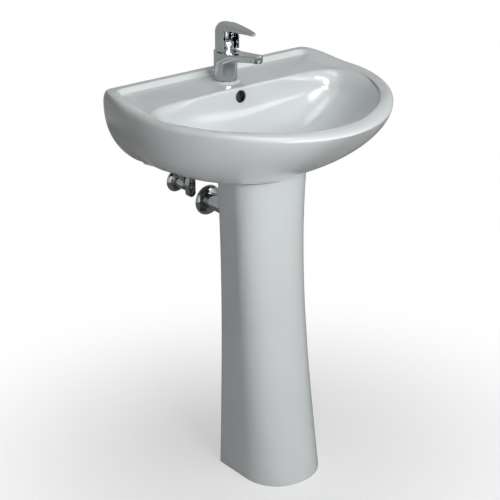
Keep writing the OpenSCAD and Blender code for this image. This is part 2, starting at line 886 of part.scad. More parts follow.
module waste_body() {
    color(chrome)
        difference() {
            around_waste(0)
                polygon([[14, tail_end], [tailpiece_r, tail_end], [tailpiece_r, under_z - 34], [tube_r, under_z - 32],
                    [tube_r, seat_z + 1], [31.5, seat_z + 1], [31.8, seat_z + 2.4], [28, seat_z + 4.2],
                    [20, seat_z + 3.2], [17, seat_z - 1], [17, under_z - 30], [14, under_z - 33]]);
            for (a = [0, 90, 180, 270])
                            translate([0, waste_y, under_z + 6.5])
                        rotate([-90, 0, a])
                            cylinder(h = 30, r = 3);
        }
}

module plug_guide() {
    color(brass)
        translate([0, waste_y, under_z - 14])
            difference() {
                union() {
                    difference() {
                        cylinder(h = 6, r = 16.9);
                        translate([0, 0, -1])
                            cylinder(h = 8, r = 14.6);
                    }
                    cylinder(h = 6, r = 8);
                    translate([-15.5, -2, 0])
                        cube([31, 4, 6]);
                    translate([-2, -15.5, 0])
                        cube([4, 31, 6]);
                }
                translate([0, 0, -1])
                    cylinder(h = 10, r = 5.06);
            }
}

module waste_plug() {
    cap_z = seat_z + 4.7 + plug_lift;
    color(chrome)
        around_waste(0)
            polygon([[0, under_z - 24], [4, under_z - 24], [5, under_z - 23], [5, cap_z - 3], [8, cap_z],
                [28, cap_z], [29, cap_z + 1], [28.4, cap_z + 2.4], [20, cap_z + 4.6], [10, cap_z + 5.8],
                [0, cap_z + 6.2]]);
}

module plug_ring() {
    cap_z = seat_z + 4.7 + plug_lift;
    color(black)
        around_waste(cap_z - 2.2)
            polygon([[9, 0], [15, 0], [15.4, 2.2], [9, 2.2]]);
}

module waste_seal() {
    color(black)
        around_waste(seat_z)
            polygon([[22.4, 0], [31, 0], [31, 1], [22.4, 1]]);
}

module waste_washer() {
    color(black)
        around_waste(under_z - 4)
            polygon([[19.7, 0], [30, 0], [32, 4], [22.4, 4], [19.7, 2]]);
}

module waste_backnut() {
    color(chrome)
        difference() {
            translate([0, waste_y, under_z - 13])
                cylinder(h = 9, r = 31, $fn = 6);
            translate([0, waste_y, under_z - 40])
                cylinder(h = 60, r = 19.6);
        }
}

// ---- bottle trap ----

trap_r = 29;
trap_split = outlet_z - 22;
trap_top = outlet_z + 26;
neck_top = trap_top + 34;
tail_end = neck_top - 14;
port_end = waste_y + 54;

module trap_head() {
    color(chrome)
        difference() {
            union() {
                around_waste(0)
                    polygon([[0, trap_split + 8], [26, trap_split + 8], [26, trap_split], [trap_r, trap_split], [trap_r, trap_top - 6],
                        [trap_r - 2, trap_top - 2], [22, trap_top], [20, trap_top + 2], [20, neck_top], [0, neck_top]]);
                translate([0, waste_y, outlet_z])
                    rotate([-90, 0, 0])
                        cylinder(h = port_end - waste_y, r = 19.5);
            }
            around_waste(0)
                polygon([[0, trap_split - 1], [26, trap_split - 1], [26, trap_top - 7], [20, trap_top - 3], [0, trap_top - 3]]);
            translate([0, waste_y, trap_top - 10])
                cylinder(h = 60, r = 16.6);
            translate([0, waste_y, outlet_z])
                rotate([-90, 0, 0])
                    cylinder(h = 80, r = 14.5);
            translate([0, port_end - 14, outlet_z])
                rotate([-90, 0, 0])
                    cylinder(h = 30, r = 16.6);
        }
}

module dip_tube() {
    color(plastic)
        around_waste(0)
            polygon([[12.5, trap_split - 26], [14, trap_split - 26], [14, trap_top - 3], [16.3, trap_top - 3],
                [16.3, trap_top + 8], [14.8, trap_top + 8], [14.8, trap_top - 1], [12.5, trap_top - 1]]);
}

module trap_cup() {
    color(chrome)
        around_waste(0)
            polygon([[0, trap_split - 50], [10, trap_split - 49.5], [22, trap_split - 46], [27, trap_split - 38],
                [27, trap_split - 14], [trap_r + 1.5, trap_split - 12], [trap_r + 1.5, trap_split - 2.5],
                [24.5, trap_split - 2.5], [24.5, trap_split - 36], [20, trap_split - 43], [9, trap_split - 46.5],
                [0, trap_split - 47]]);
}

module cup_seal() {
    color(black)
        around_waste(trap_split - 2.5)
            polygon([[25, 0], [trap_r, 0], [trap_r, 2.5], [25, 2.5]]);
}

module inlet_nut() {
    color(chrome)
        around_waste(neck_top - 10)
            polygon([[20.1, 0], [24, 0], [24.6, 1], [24.6, 12], [22, 15], [16.4, 15], [16.4, 13], [20.1, 13]]);
}

module inlet_seal() {
    color(black)
        around_waste(neck_top)
            polygon([[16.3, 0], [19.8, 0], [19.8, 2.8], [16.3, 2.8]]);
}

module outlet_nut() {
    color(chrome)
        translate([0, port_end - 10, outlet_z])
            rotate([-90, 0, 0])
                rotate_extrude()
                    polygon([[19.6, 0], [23.6, 0], [24.2, 1], [24.2, 12], [21.5, 15], [16.4, 15], [16.4, 13], [19.6, 13]]);
}

module outlet_seal() {
    color(black)
        translate([0, port_end, outlet_z])
            rotate([-90, 0, 0])
                rotate_extrude()
                    polygon([[16.3, 0], [19.3, 0], [19.3, 2.8], [16.3, 2.8]]);
}

module waste_pipe() {
    color(chrome)
        translate([0, port_end - 12, outlet_z])
            rotate([-90, 0, 0])
                difference() {
                    cylinder(h = wall_y - port_end + 12, r = 16);
                    translate([0, 0, -1])
                        cylinder(h = wall_y, r = 14.5);
                }
}

module waste_rosette() {
    color(chrome)
        turned(0, wall_y, outlet_z)
            polygon([[16.2, 0], [33, 0], [33, 2], [31, 5.5], [26, 8.5], [20, 10], [16.2, 10.4]]);
}

// ---- angle valves ----

valve_body_r = 11.5;
valve_len = 33;
handle_y = wall_y - 50;

module valve_rosette(s) {
    color(chrome)
        turned(s * valve_x, wall_y, valve_z)
            polygon([[8.2, 0], [24, 0], [24, 2], [22.5, 5], [18, 7.5], [13, 8.8], [8.2, 9]]);
}

module valve_body(s) {
    color(chrome)
        difference() {
            union() {
                turned(s * valve_x, wall_y, valve_z)
                    polygon([[0, 0], [8, 0], [8, 9.5], [10, 12], [valve_body_r, 14], [valve_body_r, valve_len + 3],
                        [10, valve_len + 5], [0, valve_len + 5]]);
                translate([s * valve_x, valve_y, valve_z])
                    cylinder(h = 25, r = 8);
            }
            translate([s * valve_x, wall_y - 24, valve_z])
                rotate([-90, 0, 0])
                    cylinder(h = 40, r = 5);
            translate([s * valve_x, wall_y - valve_len - 8, valve_z])
                rotate([-90, 0, 0])
                    cylinder(h = 12, r = 6.5);
            translate([s * valve_x, valve_y, valve_z])
                cylinder(h = 40, r = 4);
            translate([s * valve_x, valve_y, valve_z + 16])
                cylinder(h = 40, r = 5.2);
        }
}

// gland that closes the valve body and guides the stem
module valve_gland(s) {
    color(brass)
        turned(s * valve_x, wall_y - valve_len - 1, valve_z)
            polygon([[3.06, 0], [6.4, 0], [6.4, 4.1], [8, 4.1], [8, 7.5], [3.06, 7.5]]);
}

module valve_handle(s) {
    half_w = 9;
    half_h = 21;
    skin_t = 2;
    color(chrome)
        translate([s * valve_x, handle_y, valve_z])
            rotate([90, 0, 0])
                difference() {
                    union() {
                        translate([0, 0, -7])
                            linear_extrude(14) {
                                translate([0, half_h - half_w])
                                    circle(r = half_w);
                                translate([0, half_w - half_h])
                                    circle(r = half_w);
                                square([2 * half_w, 2 * (half_h - half_w)], center = true);
                            }
                        translate([0, 0, -18])
                            cylinder(h = 12, r = 3);
                    }
                    translate([0, 0, 7 - skin_t])
                        cylinder(h = 10, r = 5.1);
                    for (k = [-1, 1])
                        translate([0, k * 13, -8])
                            cylinder(h = 8, r = 6.2);
                }
}

module valve_cap(s) {
    color(chrome)
        turned(s * valve_x, handle_y - 5, valve_z)
            polygon([[0, 0], [5, 0], [5, 2], [4, 2.8], [0, 3]]);
}

module tail_nut(s) {
    color(chrome)
        difference() {
            union() {
                translate([s * valve_x, valve_y, valve_z + 19])
                    cylinder(h = 11, r = 10.6, $fn = 6);
                translate([s * valve_x, valve_y, valve_z + 30])
                    cylinder(h = 2, r1 = 9, r2 = 7.5);
            }
            translate([s * valve_x, valve_y, valve_z + 10])
                cylinder(h = 18, r = 8.05);
            translate([s * valve_x, valve_y, valve_z + 10])
                cylinder(h = 40, r = 5.15);
        }
}

basin();
pedestal();
pedestal_seal();
floor_screw(-1);  // floor_screw_left
floor_screw(1);  // floor_screw_right
wall_stud(-1);  // wall_stud_left
wall_stud(1);  // wall_stud_right
wall_bush(-1);  // wall_bush_left
wall_bush(1);  // wall_bush_right
wall_nut(-1);  // wall_nut_left
wall_nut(1);  // wall_nut_right
tap_body();
tap_base_seal();
tap_stud();
tap_pad();
tap_clamp();
tap_nut();
tap_tail(-1);  // tap_tail_left
tap_tail(1);  // tap_tail_right
cartridge_body();
cartridge_turntable();
cartridge_pin();
cartridge_nut();
cartridge_dome();
cartridge_stem();
lever();
lever_screw();
index_button();
aerator_housing();
aerator_insert();
aerator_seal();
waste_body();
plug_guide();
waste_plug();
plug_ring();
waste_seal();
waste_washer();
waste_backnut();
trap_head();
dip_tube();
trap_cup();
cup_seal();
inlet_nut();
inlet_seal();
outlet_nut();
outlet_seal();
waste_pipe();
waste_rosette();
valve_rosette(-1);  // valve_rosette_left
valve_rosette(1);  // valve_rosette_right
valve_body(-1);  // valve_body_left
valve_body(1);  // valve_body_right
valve_gland(-1);  // valve_gland_left
valve_gland(1);  // valve_gland_right
valve_handle(-1);  // valve_handle_left
valve_handle(1);  // valve_handle_right
valve_cap(-1);  // valve_cap_left
valve_cap(1);  // valve_cap_right
tail_nut(-1);  // tail_nut_left
tail_nut(1);  // tail_nut_right
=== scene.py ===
"""Looks of the pedestal wash basin: glazed ceramic, chrome mixer tap, waste, trap and angle valves.

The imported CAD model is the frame. X runs across the basin, +Y points at the wall, +Z is up.
Shapes are worked out in millimetres and made in metres.
"""

import math

import bmesh
import bpy
import numpy as np
from mathutils import Matrix, Vector


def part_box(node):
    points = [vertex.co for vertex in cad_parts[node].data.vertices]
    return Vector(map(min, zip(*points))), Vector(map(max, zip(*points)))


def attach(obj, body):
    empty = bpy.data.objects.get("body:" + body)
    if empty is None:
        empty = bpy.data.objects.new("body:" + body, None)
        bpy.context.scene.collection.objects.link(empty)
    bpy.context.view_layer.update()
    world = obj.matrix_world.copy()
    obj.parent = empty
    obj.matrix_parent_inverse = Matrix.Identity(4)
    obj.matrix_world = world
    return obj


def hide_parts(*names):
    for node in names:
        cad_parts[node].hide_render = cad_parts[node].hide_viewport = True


bl_info = {
    "name": "Pedestal wash basin",
    "version": (1, 0, 0),
    "blender": (4, 5, 0),
    "location": "View3D > Sidebar > Basin",
    "description": "Dresses the packed basin with glaze, chrome, rubber, brass and copper",
    "category": "Object",
}

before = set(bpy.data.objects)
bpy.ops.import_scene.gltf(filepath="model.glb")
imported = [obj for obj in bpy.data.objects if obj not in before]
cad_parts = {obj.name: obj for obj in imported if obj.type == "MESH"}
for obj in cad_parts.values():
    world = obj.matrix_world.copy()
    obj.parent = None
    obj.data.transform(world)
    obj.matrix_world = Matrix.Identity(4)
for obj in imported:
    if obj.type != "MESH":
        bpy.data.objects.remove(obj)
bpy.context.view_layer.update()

MM = 0.001
SIDES = (("left", -1), ("right", 1))
UP = (0, 0, 1)
TO_WALL, FROM_WALL = (0, 1, 0), (0, -1, 0)
WHITE = (1.0, 1.0, 1.0)
TINY, FINE_GAP = 1e-6, 0.001


def span(node):
    """Lowest and highest corner of a CAD node, in millimetres."""
    low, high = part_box(node)
    return np.array(low) / MM, np.array(high) / MM


def middle(node):
    """Middle of a CAD node's box, in millimetres."""
    low, high = span(node)
    return (low + high) / 2


BASIN_LOW, BASIN_HIGH = span("basin")
COLUMN_TOP = span("pedestal")[1][2]


def length_property(name, description, default):
    return bpy.props.FloatProperty(name=name, description=description, default=default, unit="LENGTH")


def colour_property(name, description, default):
    return bpy.props.FloatVectorProperty(
        name=name, description=description, default=default, size=3, subtype="COLOR", min=0, max=1
    )


class SinkSizes(bpy.types.PropertyGroup):
    """Sizes that a user would change, in metres."""

    basin_w: length_property("Basin width", "Overall width of the basin", (BASIN_HIGH[0] - BASIN_LOW[0]) * MM)
    basin_d: length_property("Basin depth", "Wall to front rim", (BASIN_HIGH[1] - BASIN_LOW[1]) * MM)
    basin_h: length_property("Basin height", "Height of the upstand above the floor", BASIN_HIGH[2] * MM)
    upstand_h: length_property(
        "Upstand", "Height of the upstand above the deck", (BASIN_HIGH[2] - span("tap_base_seal")[0][2]) * MM
    )
    overflow_d: length_property("Overflow", "Diameter of the overflow hole", 0.025)
    edge_round: length_property("Metal edges", "Radius on the edges of the metal parts", 0.0008)


class SinkFinishes(bpy.types.PropertyGroup):
    """Colours that a user would change."""

    glaze: colour_property("Glaze", "Colour of the glazed ceramic", (0.76, 0.797, 0.80))
    biscuit: colour_property("Biscuit", "Colour of the unglazed ceramic inside", (0.66, 0.64, 0.60))
    # Painted shade: near-black for the shade deep inside the overflow hole and its duct.
    duct: colour_property("Overflow duct", "Painted shade inside the overflow duct", (0.10, 0.10, 0.095))
    chrome: colour_property("Chrome", "Colour of the chrome plating", (0.53, 0.555, 0.56))
    steel: colour_property("Steel", "Colour of the plated steel fixings", (0.55, 0.55, 0.54))
    brass: colour_property("Brass", "Colour of the bare brass", (0.68, 0.50, 0.22))
    copper: colour_property("Copper", "Colour of the copper tails", (0.72, 0.38, 0.25))
    rubber: colour_property("Rubber", "Colour of the seals", (0.022, 0.022, 0.023))
    plastic: colour_property("Plastic", "Colour of the white plastic parts", (0.70, 0.70, 0.68))
    cold: colour_property("Cold", "Cold half of the index button", (0.02, 0.09, 0.42))
    hot: colour_property("Hot", "Hot half of the index button", (0.48, 0.02, 0.02))
    floor: colour_property("Floor", "Colour of the floor", (0.86, 0.86, 0.86))


# ---- node trees ----


class Value:
    """An output socket; plain arithmetic on it adds the Math node of that operation."""

    def __init__(self, maker, socket):
        self.maker = maker
        self.socket = socket

    def __add__(self, other):
        return self.maker.maths("ADD", self, other)

    def __mul__(self, other):
        return self.maker.maths("MULTIPLY", self, other)

    __radd__ = __add__
    __rmul__ = __mul__


class NodeMaker:
    """Fills a node tree through node()."""

    def __init__(self, tree):
        self.tree = tree
        tree.nodes.clear()

    def node(self, kind, settings=None, inputs=None, out=0):
        """Adds a node: its settings first, then the values or links of its sockets; returns one output."""
        made = self.tree.nodes.new(kind)
        for name, value in (settings or {}).items():
            setattr(made, name, value)
        for name, value in (inputs or {}).items():
            socket = made.inputs[name]
            if isinstance(value, Value):
                self.tree.links.new(value.socket, socket)
            elif socket.type == "RGBA":
                socket.default_value = (*value, 1)
            else:
                socket.default_value = value
        return None if out is None else Value(self, made.outputs[out])

    def maths(self, operation, first, second):
        return self.node("ShaderNodeMath", {"operation": operation}, {0: first, 1: second})

    def seen_directly(self):
        """One for camera, mirrored and clear rays, nought for the rays that carry light."""
        seen = self.node("ShaderNodeLightPath", out="Is Camera Ray")
        rays = seen.socket.node.outputs
        for name in ("Is Glossy Ray", "Is Transmission Ray"):
            seen = self.maths("MAXIMUM", seen, Value(self, rays[name]))
        return seen


class Finish(NodeMaker):
    """The node tree of a new material."""

    def __init__(self, name):
        self.material = bpy.data.materials.new(name)
        self.material.use_nodes = True
        super().__init__(self.material.node_tree)
        self.object_place = self.node("ShaderNodeTexCoord", out="Object")

    def placed(self, scale):
        """Object coordinates, stretched."""
        return self.node("ShaderNodeMapping", None, {"Vector": self.object_place, "Scale": scale})

    def noise(self, scale, detail, rough=0.5, place=None):
        settings = {
            "Vector": place or self.object_place,
            "Scale": scale,
            "Detail": detail,
            "Roughness": rough,
        }
        return self.node("ShaderNodeTexNoise", None, settings, "Fac")

    def ramp(self, value, low, high, dark=0.0, bright=1.0):
        """Smooth step of a value from low to high, giving numbers from dark to bright."""
        ends = {"Value": value, "From Min": low, "From Max": high, "To Min": dark, "To Max": bright}
        return self.node("ShaderNodeMapRange", {"interpolation_type": "SMOOTHSTEP"}, ends)

    def mix(self, share, first, second):
        """Colour mix; the sockets of a Mix node's colours are numbers 6 and 7, its result is 2."""
        return self.node("ShaderNodeMix", {"data_type": "RGBA"}, {0: share, 6: first, 7: second}, 2)

    def cloud(self, value, low, high, colour, dark, bright):
        """Colour that drifts between a darker and a lighter tint with a value."""
        return self.mix(self.ramp(value, low, high), tinted(colour, dark), tinted(colour, bright))

    def bump(self, height, distance, strength):
        relief = {"Height": height, "Distance": distance, "Strength": strength}
        return self.node("ShaderNodeBump", None, relief)

    def close(self, shader):
        self.node("ShaderNodeOutputMaterial", None, {"Surface": shader}, None)
        return self.material

    def surface(self, **inputs):
        """Joins the values to the surface shader; names use _ for a space."""
        named = {name.replace("_", " "): value for name, value in inputs.items()}
        return self.close(self.node("ShaderNodeBsdfPrincipled", None, named))


def tinted(colour, factor):
    return tuple(min(1.0, max(0.0, c * factor)) for c in colour)


def glazed_ceramic(colour):
    """Vitreous china: a deep clear glaze with a faint unevenness and a few pinholes."""
    g = Finish("glazed_ceramic")
    fine = g.noise(420, 2)
    speck = g.ramp(g.noise(900, 1), 0.72, 0.78)
    tone = g.cloud(g.noise(7, 3), 0.3, 0.7, colour, 0.985, 1.012)
    tone = g.mix(speck * 0.10, tone, tinted(colour, 0.8))
    wave = g.noise(26, 2) * 0.8 + g.noise(95, 2) * 0.12 + fine * 0.01
    return g.surface(
        Base_Color=tone,
        Roughness=g.ramp(g.noise(34, 3), 0.25, 0.75, 0.17, 0.24),
        IOR=1.5,
        Coat_Weight=0.55,
        Coat_Roughness=0.04,
        Normal=g.bump(wave, 0.0006, 0.35),
    )


def bare_ceramic(name, colour):
    """Unglazed fireclay inside the hollow: matt, grainy, with thin runs of glaze; made near-black, it paints
    the shade inside the overflow duct.
    """
    g = Finish(name)
    grain = g.noise(520, 4, 0.7)
    patch = g.noise(14, 4)
    tone = g.cloud(patch, 0.35, 0.65, colour, 0.92, 1.08)
    tone = g.mix(g.ramp(grain, 0.55, 0.75, 0.0, 0.35), tone, tinted(colour, 0.7))
    return g.surface(
        Base_Color=tone,
        Roughness=g.ramp(patch, 0.3, 0.7, 0.62, 0.82),
        Normal=g.bump(grain + patch * 2, 0.0006, 0.5),
    )


def polished_chrome(colour):
    """Polished plating: faint cloudiness, wiping marks and a slight unevenness under the light."""
    g = Finish("polished_chrome")
    cloud = g.noise(60, 3)
    wipe = g.noise(8, 5, 0.6, g.placed((4, 4, 60)))
    return g.surface(
        Base_Color=g.cloud(cloud, 0.3, 0.7, colour, 0.965, 1.02),
        Metallic=1.0,
        Roughness=g.ramp(wipe * 0.6 + cloud * 0.4, 0.35, 0.7, 0.035, 0.075),
        Normal=g.bump(g.noise(150, 2), 0.00006, 0.25),
    )


def brushed_metal(name, colour, scale, rough_low, rough_high):
    """Machined metal: fine turned lines, darker and duller where it has been handled."""
    g = Finish(name)
    lines = g.noise(1, 3, 0.7, g.placed(scale))
    stain = g.noise(45, 4, 0.6)
    return g.surface(
        Base_Color=g.cloud(stain, 0.4, 0.72, colour, 1.05, 0.72),
        Metallic=1.0,
        Roughness=g.ramp(stain * 0.5 + lines * 0.5, 0.3, 0.7, rough_low, rough_high),
        Normal=g.bump(lines, 0.00005, 0.4),
    )


def soft_rubber(colour):
    """Moulded rubber: a fine grain under a pale bloom."""
    g = Finish("soft_rubber")
    grain = g.noise(900, 3, 0.6)
    bloom = g.noise(70, 4)
    tone = g.mix(g.ramp(bloom, 0.45, 0.75), colour, tinted(colour, 1.9))
    rough = g.ramp(bloom, 0.3, 0.7, 0.5, 0.68)
    return g.surface(Base_Color=tone, Roughness=rough, Normal=g.bump(grain, 0.00012, 0.5))


def moulded_plastic(colour):
    """White plastic with the faint streaks of its moulding."""
    g = Finish("moulded_plastic")
    flow = g.noise(30, 3, 0.5, g.placed((1, 1, 3)))
    grain = g.noise(700, 2)
    return g.surface(
        Base_Color=g.cloud(flow, 0.35, 0.7, colour, 0.96, 1.03),
        Roughness=g.ramp(flow, 0.3, 0.7, 0.34, 0.46),
        Normal=g.bump(grain, 0.00008, 0.4),
        IOR=1.48,
    )


def soft_filler(colour):
    """White sealing strip between the column and the basin."""
    g = Finish("soft_filler")
    grain = g.noise(300, 4, 0.6)
    tone = g.cloud(grain, 0.4, 0.7, colour, 0.93, 1.04)
    rough = g.ramp(grain, 0.3, 0.7, 0.5, 0.62)
    return g.surface(Base_Color=tone, Roughness=rough, Normal=g.bump(grain, 0.0003, 0.5))


def index_colours(cold, hot):
    """Button whose left half is one colour and right half the other, under a clear face."""
    g = Finish("index_colours")
    across = g.node("ShaderNodeSeparateXYZ", None, {"Vector": g.object_place}, "X")
    grain = g.noise(800, 2)
    tone = g.mix(g.ramp(across, -0.00012, 0.00012), cold, hot)
    tone = g.mix(g.ramp(grain, 0.5, 0.8, 0.0, 0.18), tone, (0.6, 0.6, 0.6))
    rough = g.ramp(grain, 0.3, 0.7, 0.12, 0.2)
    return g.surface(Base_Color=tone, Roughness=rough, Coat_Weight=0.6, Coat_Roughness=0.05)


def all_materials():
    """Makes every finish once, by name."""
    chosen = bpy.context.scene.sink_finishes
    colour = {name: tuple(getattr(chosen, name)) for name in SinkFinishes.__annotations__}
    return {
        "glaze": glazed_ceramic(colour["glaze"]),
        "biscuit": bare_ceramic("bare_ceramic", colour["biscuit"]),
        # near-black fireclay shader as painted shade inside the overflow hole and duct
        "duct": bare_ceramic("duct_ceramic", colour["duct"]),
        "chrome": polished_chrome(colour["chrome"]),
        "steel": brushed_metal("plated_steel", colour["steel"], (900, 900, 200), 0.26, 0.42),
        "brass": brushed_metal("turned_brass", colour["brass"], (60, 60, 2400), 0.24, 0.4),
        "copper": brushed_metal("drawn_copper", colour["copper"], (1200, 1200, 60), 0.2, 0.36),
        "rubber": soft_rubber(colour["rubber"]),
        "plastic": moulded_plastic(colour["plastic"]),
        "filler": soft_filler(colour["plastic"]),
        "index": index_colours(colour["cold"], colour["hot"]),
    }


FINISH = {}


# ---- mesh helpers; all lengths are in millimetres ----


def new_object(name, points, faces, *finishes):
    mesh = bpy.data.meshes.new(name)
    mesh.from_pydata([tuple(float(c) * MM for c in p) for p in points], [], faces)
    obj = bpy.data.objects.new(name, mesh)
    bpy.context.scene.collection.objects.link(obj)
    for finish in finishes:
        mesh.materials.append(FINISH[finish])
    return obj


def discard(objects):
    """Removes helper objects with their meshes."""
    for obj in objects:
        mesh = obj.data
        bpy.data.objects.remove(obj)
        bpy.data.meshes.remove(mesh)


def clean(obj, gap=0.01):
    """Merges doubles and turns every face outwards."""
    bm = bmesh.new()
    bm.from_mesh(obj.data)
    bmesh.ops.remove_doubles(bm, verts=bm.verts, dist=gap * MM)
    bmesh.ops.recalc_face_normals(bm, faces=bm.faces)
    bm.to_mesh(obj.data)
    bm.free()
    return obj


def settle(obj):
    """Makes the modifiers' result the object's own plain mesh."""
    graph = bpy.context.evaluated_depsgraph_get()
    mesh = bpy.data.meshes.new_from_object(obj.evaluated_get(graph))
    old = obj.data
    obj.modifiers.clear()
    obj.data = mesh
    bpy.data.meshes.remove(old)
    if not len(mesh.polygons):
        raise RuntimeError(f"{obj.name} came out empty")
    return obj


def combine(obj, others, operation="DIFFERENCE"):
    """Cuts the others out of obj, or joins them to it, and removes them."""
    for other in others:
        modifier = obj.modifiers.new("combine", "BOOLEAN")
        modifier.operation = operation
        modifier.solver = "EXACT"
        modifier.object = other
    settle(obj)
    discard(others)
    return obj


def bevel(obj, width, angle, segments):
    """Rounds the edges that are sharper than the angle."""
    modifier = obj.modifiers.new("bevel", "BEVEL")
    modifier.width = width * MM
    modifier.segments = segments
    modifier.limit_method = "ANGLE"
    modifier.angle_limit = math.radians(angle)
    modifier.use_clamp_overlap = True
    return settle(obj)


def hand_over(obj, body, nodes, angle):
    """Smooths the finished piece but for its sharp edges, and gives it to its body for its CAD nodes."""
    mesh = obj.data
    mesh.polygons.foreach_set("use_smooth", [True] * len(mesh.polygons))
    mesh.set_sharp_from_angle(angle=math.radians(angle))
    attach(obj, body)
    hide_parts(*nodes)
    return obj


def rounded(points, radius, steps=4, closed=True):
    """Outline with its corners turned into arcs. radius is one number or one for each corner."""
    points = [np.array(p, float) for p in points]
    radii = radius if hasattr(radius, "__len__") else [radius] * len(points)
    nearly_straight, longest_share = math.radians(88), 0.48
    out = []
    for i, corner in enumerate(points):
        ends = not closed and i in (0, len(points) - 1)
        before, after = points[i - 1] - corner, points[(i + 1) % len(points)] - corner
        a, b = np.linalg.norm(before), np.linalg.norm(after)
        if ends or radii[i] <= 0 or a < TINY or b < TINY:
            out.append(corner)
            continue
        before, after = before / a, after / b
        half = math.acos(max(-1.0, min(1.0, float(before @ after)))) / 2
        if half > nearly_straight:
            out.append(corner)
            continue
        reach = min(radii[i] / math.tan(half), longest_share * a, longest_share * b)
        bisector = (before + after) / np.linalg.norm(before + after)
        centre = corner + bisector * (reach / math.cos(half))
        start, end = corner + before * reach - centre, corner + after * reach - centre
        turn = math.pi - 2 * half
        for k in range(steps + 1):
            t = k / steps
            arm = start * math.sin((1 - t) * turn) + end * math.sin(t * turn)
            out.append(centre + arm / math.sin(turn))
    return out


def axes_for(axis):
    """The axis and two directions square to it."""
    axis = Vector(axis).normalized()
    side = Vector((1, 0, 0)) if abs(axis.x) < 0.9 else Vector(UP)
    u = (side - axis * side.dot(axis)).normalized()
    return axis, u, axis.cross(u)


def turned_mesh(outline, base, axis, steps):
    """Surface of revolution of a closed (radius, height) outline round the axis through base."""
    axis, u, v = axes_for(axis)
    base = Vector(base)
    points, rings = [], []
    for radius, height in outline:
        if radius < TINY:
            rings.append([len(points)] * steps)
            points.append(base + axis * height)
            continue
        rings.append(list(range(len(points), len(points) + steps)))
        for k in range(steps):
            a = 2 * math.pi * k / steps
            points.append(base + axis * height + (u * math.cos(a) + v * math.sin(a)) * radius)
    faces = []
    for i, ring in enumerate(rings):
        after = rings[(i + 1) % len(rings)]
        for k in range(steps):
            j = (k + 1) % steps
            corners = list(dict.fromkeys((ring[k], ring[j], after[j], after[k])))
            if len(corners) > 2:
                faces.append(corners)
    return points, faces


def turned(name, outline, base, axis, finish="chrome", round_by=0.0, steps=96):
    """A turned piece; round_by rounds its corners off the axis."""
    if round_by:
        outline = rounded(outline, [0 if p[0] < TINY else round_by for p in outline])
    return clean(new_object(name, *turned_mesh(outline, base, axis, steps), finish))


def prism_mesh(outline, base, axis, height, up=None):
    """Straight prism over a closed outline in the plane square to the axis."""
    axis, u, v = axes_for(axis)
    if up is not None:
        v = (Vector(up) - axis * Vector(up).dot(axis)).normalized()
        u = v.cross(axis)
    base = Vector(base)
    n = len(outline)
    points = [base + u * x + v * y for x, y in outline]
    points += [p + axis * height for p in points]
    faces = [list(range(n))[::-1], list(range(n, 2 * n))]
    faces += [[i, (i + 1) % n, n + (i + 1) % n, n + i] for i in range(n)]
    return points, faces


def upright(outline, low, high, name="block", finish="chrome"):
    """Prism over an (x, y) outline from one height to another."""
    return clean(new_object(name, *prism_mesh(outline, (0, 0, low), UP, high - low, TO_WALL), finish))


def sideways(outline, width, name="block", finish="chrome"):
    """Prism over a (y, z) outline, as wide as stated and centred on x = 0."""
    mesh = prism_mesh(outline, (-width / 2, 0, 0), (1, 0, 0), width, UP)
    return clean(new_object(name, *mesh, finish))


def cylinder(radius, base, axis, height, steps=96, finish="chrome"):
    outline = [(0, 0), (radius, 0), (radius, height), (0, height)]
    return turned("cutter", outline, base, axis, finish, steps=steps)


def lerp(a, b, t):
    return a + (b - a) * t


def smooth(a, b, v):
    t = np.clip((v - a) / (b - a), 0, 1)
    return t * t * (3 - 2 * t)


def power(v, e):
    return np.power(np.maximum(v, 0), e)


def three(back, side, front, place):
    """From the back over the side, half way, to the front, without a kink."""
    to_side, to_front = smooth(0, 0.5, place), smooth(0.5, 1, place)
    return np.where(place < 0.5, lerp(back, side, to_side), lerp(side, front, to_front))


def bent(a, corner, b, t):
    """Point at t on the curve from a to b that leans towards the corner."""
    return a * (1 - t) ** 2 + 2 * t * (1 - t) * corner + b * t * t


def with_height(plan, height):
    return np.column_stack([plan, np.broadcast_to(height, len(plan))])


# ---- ceramic: the basin ----


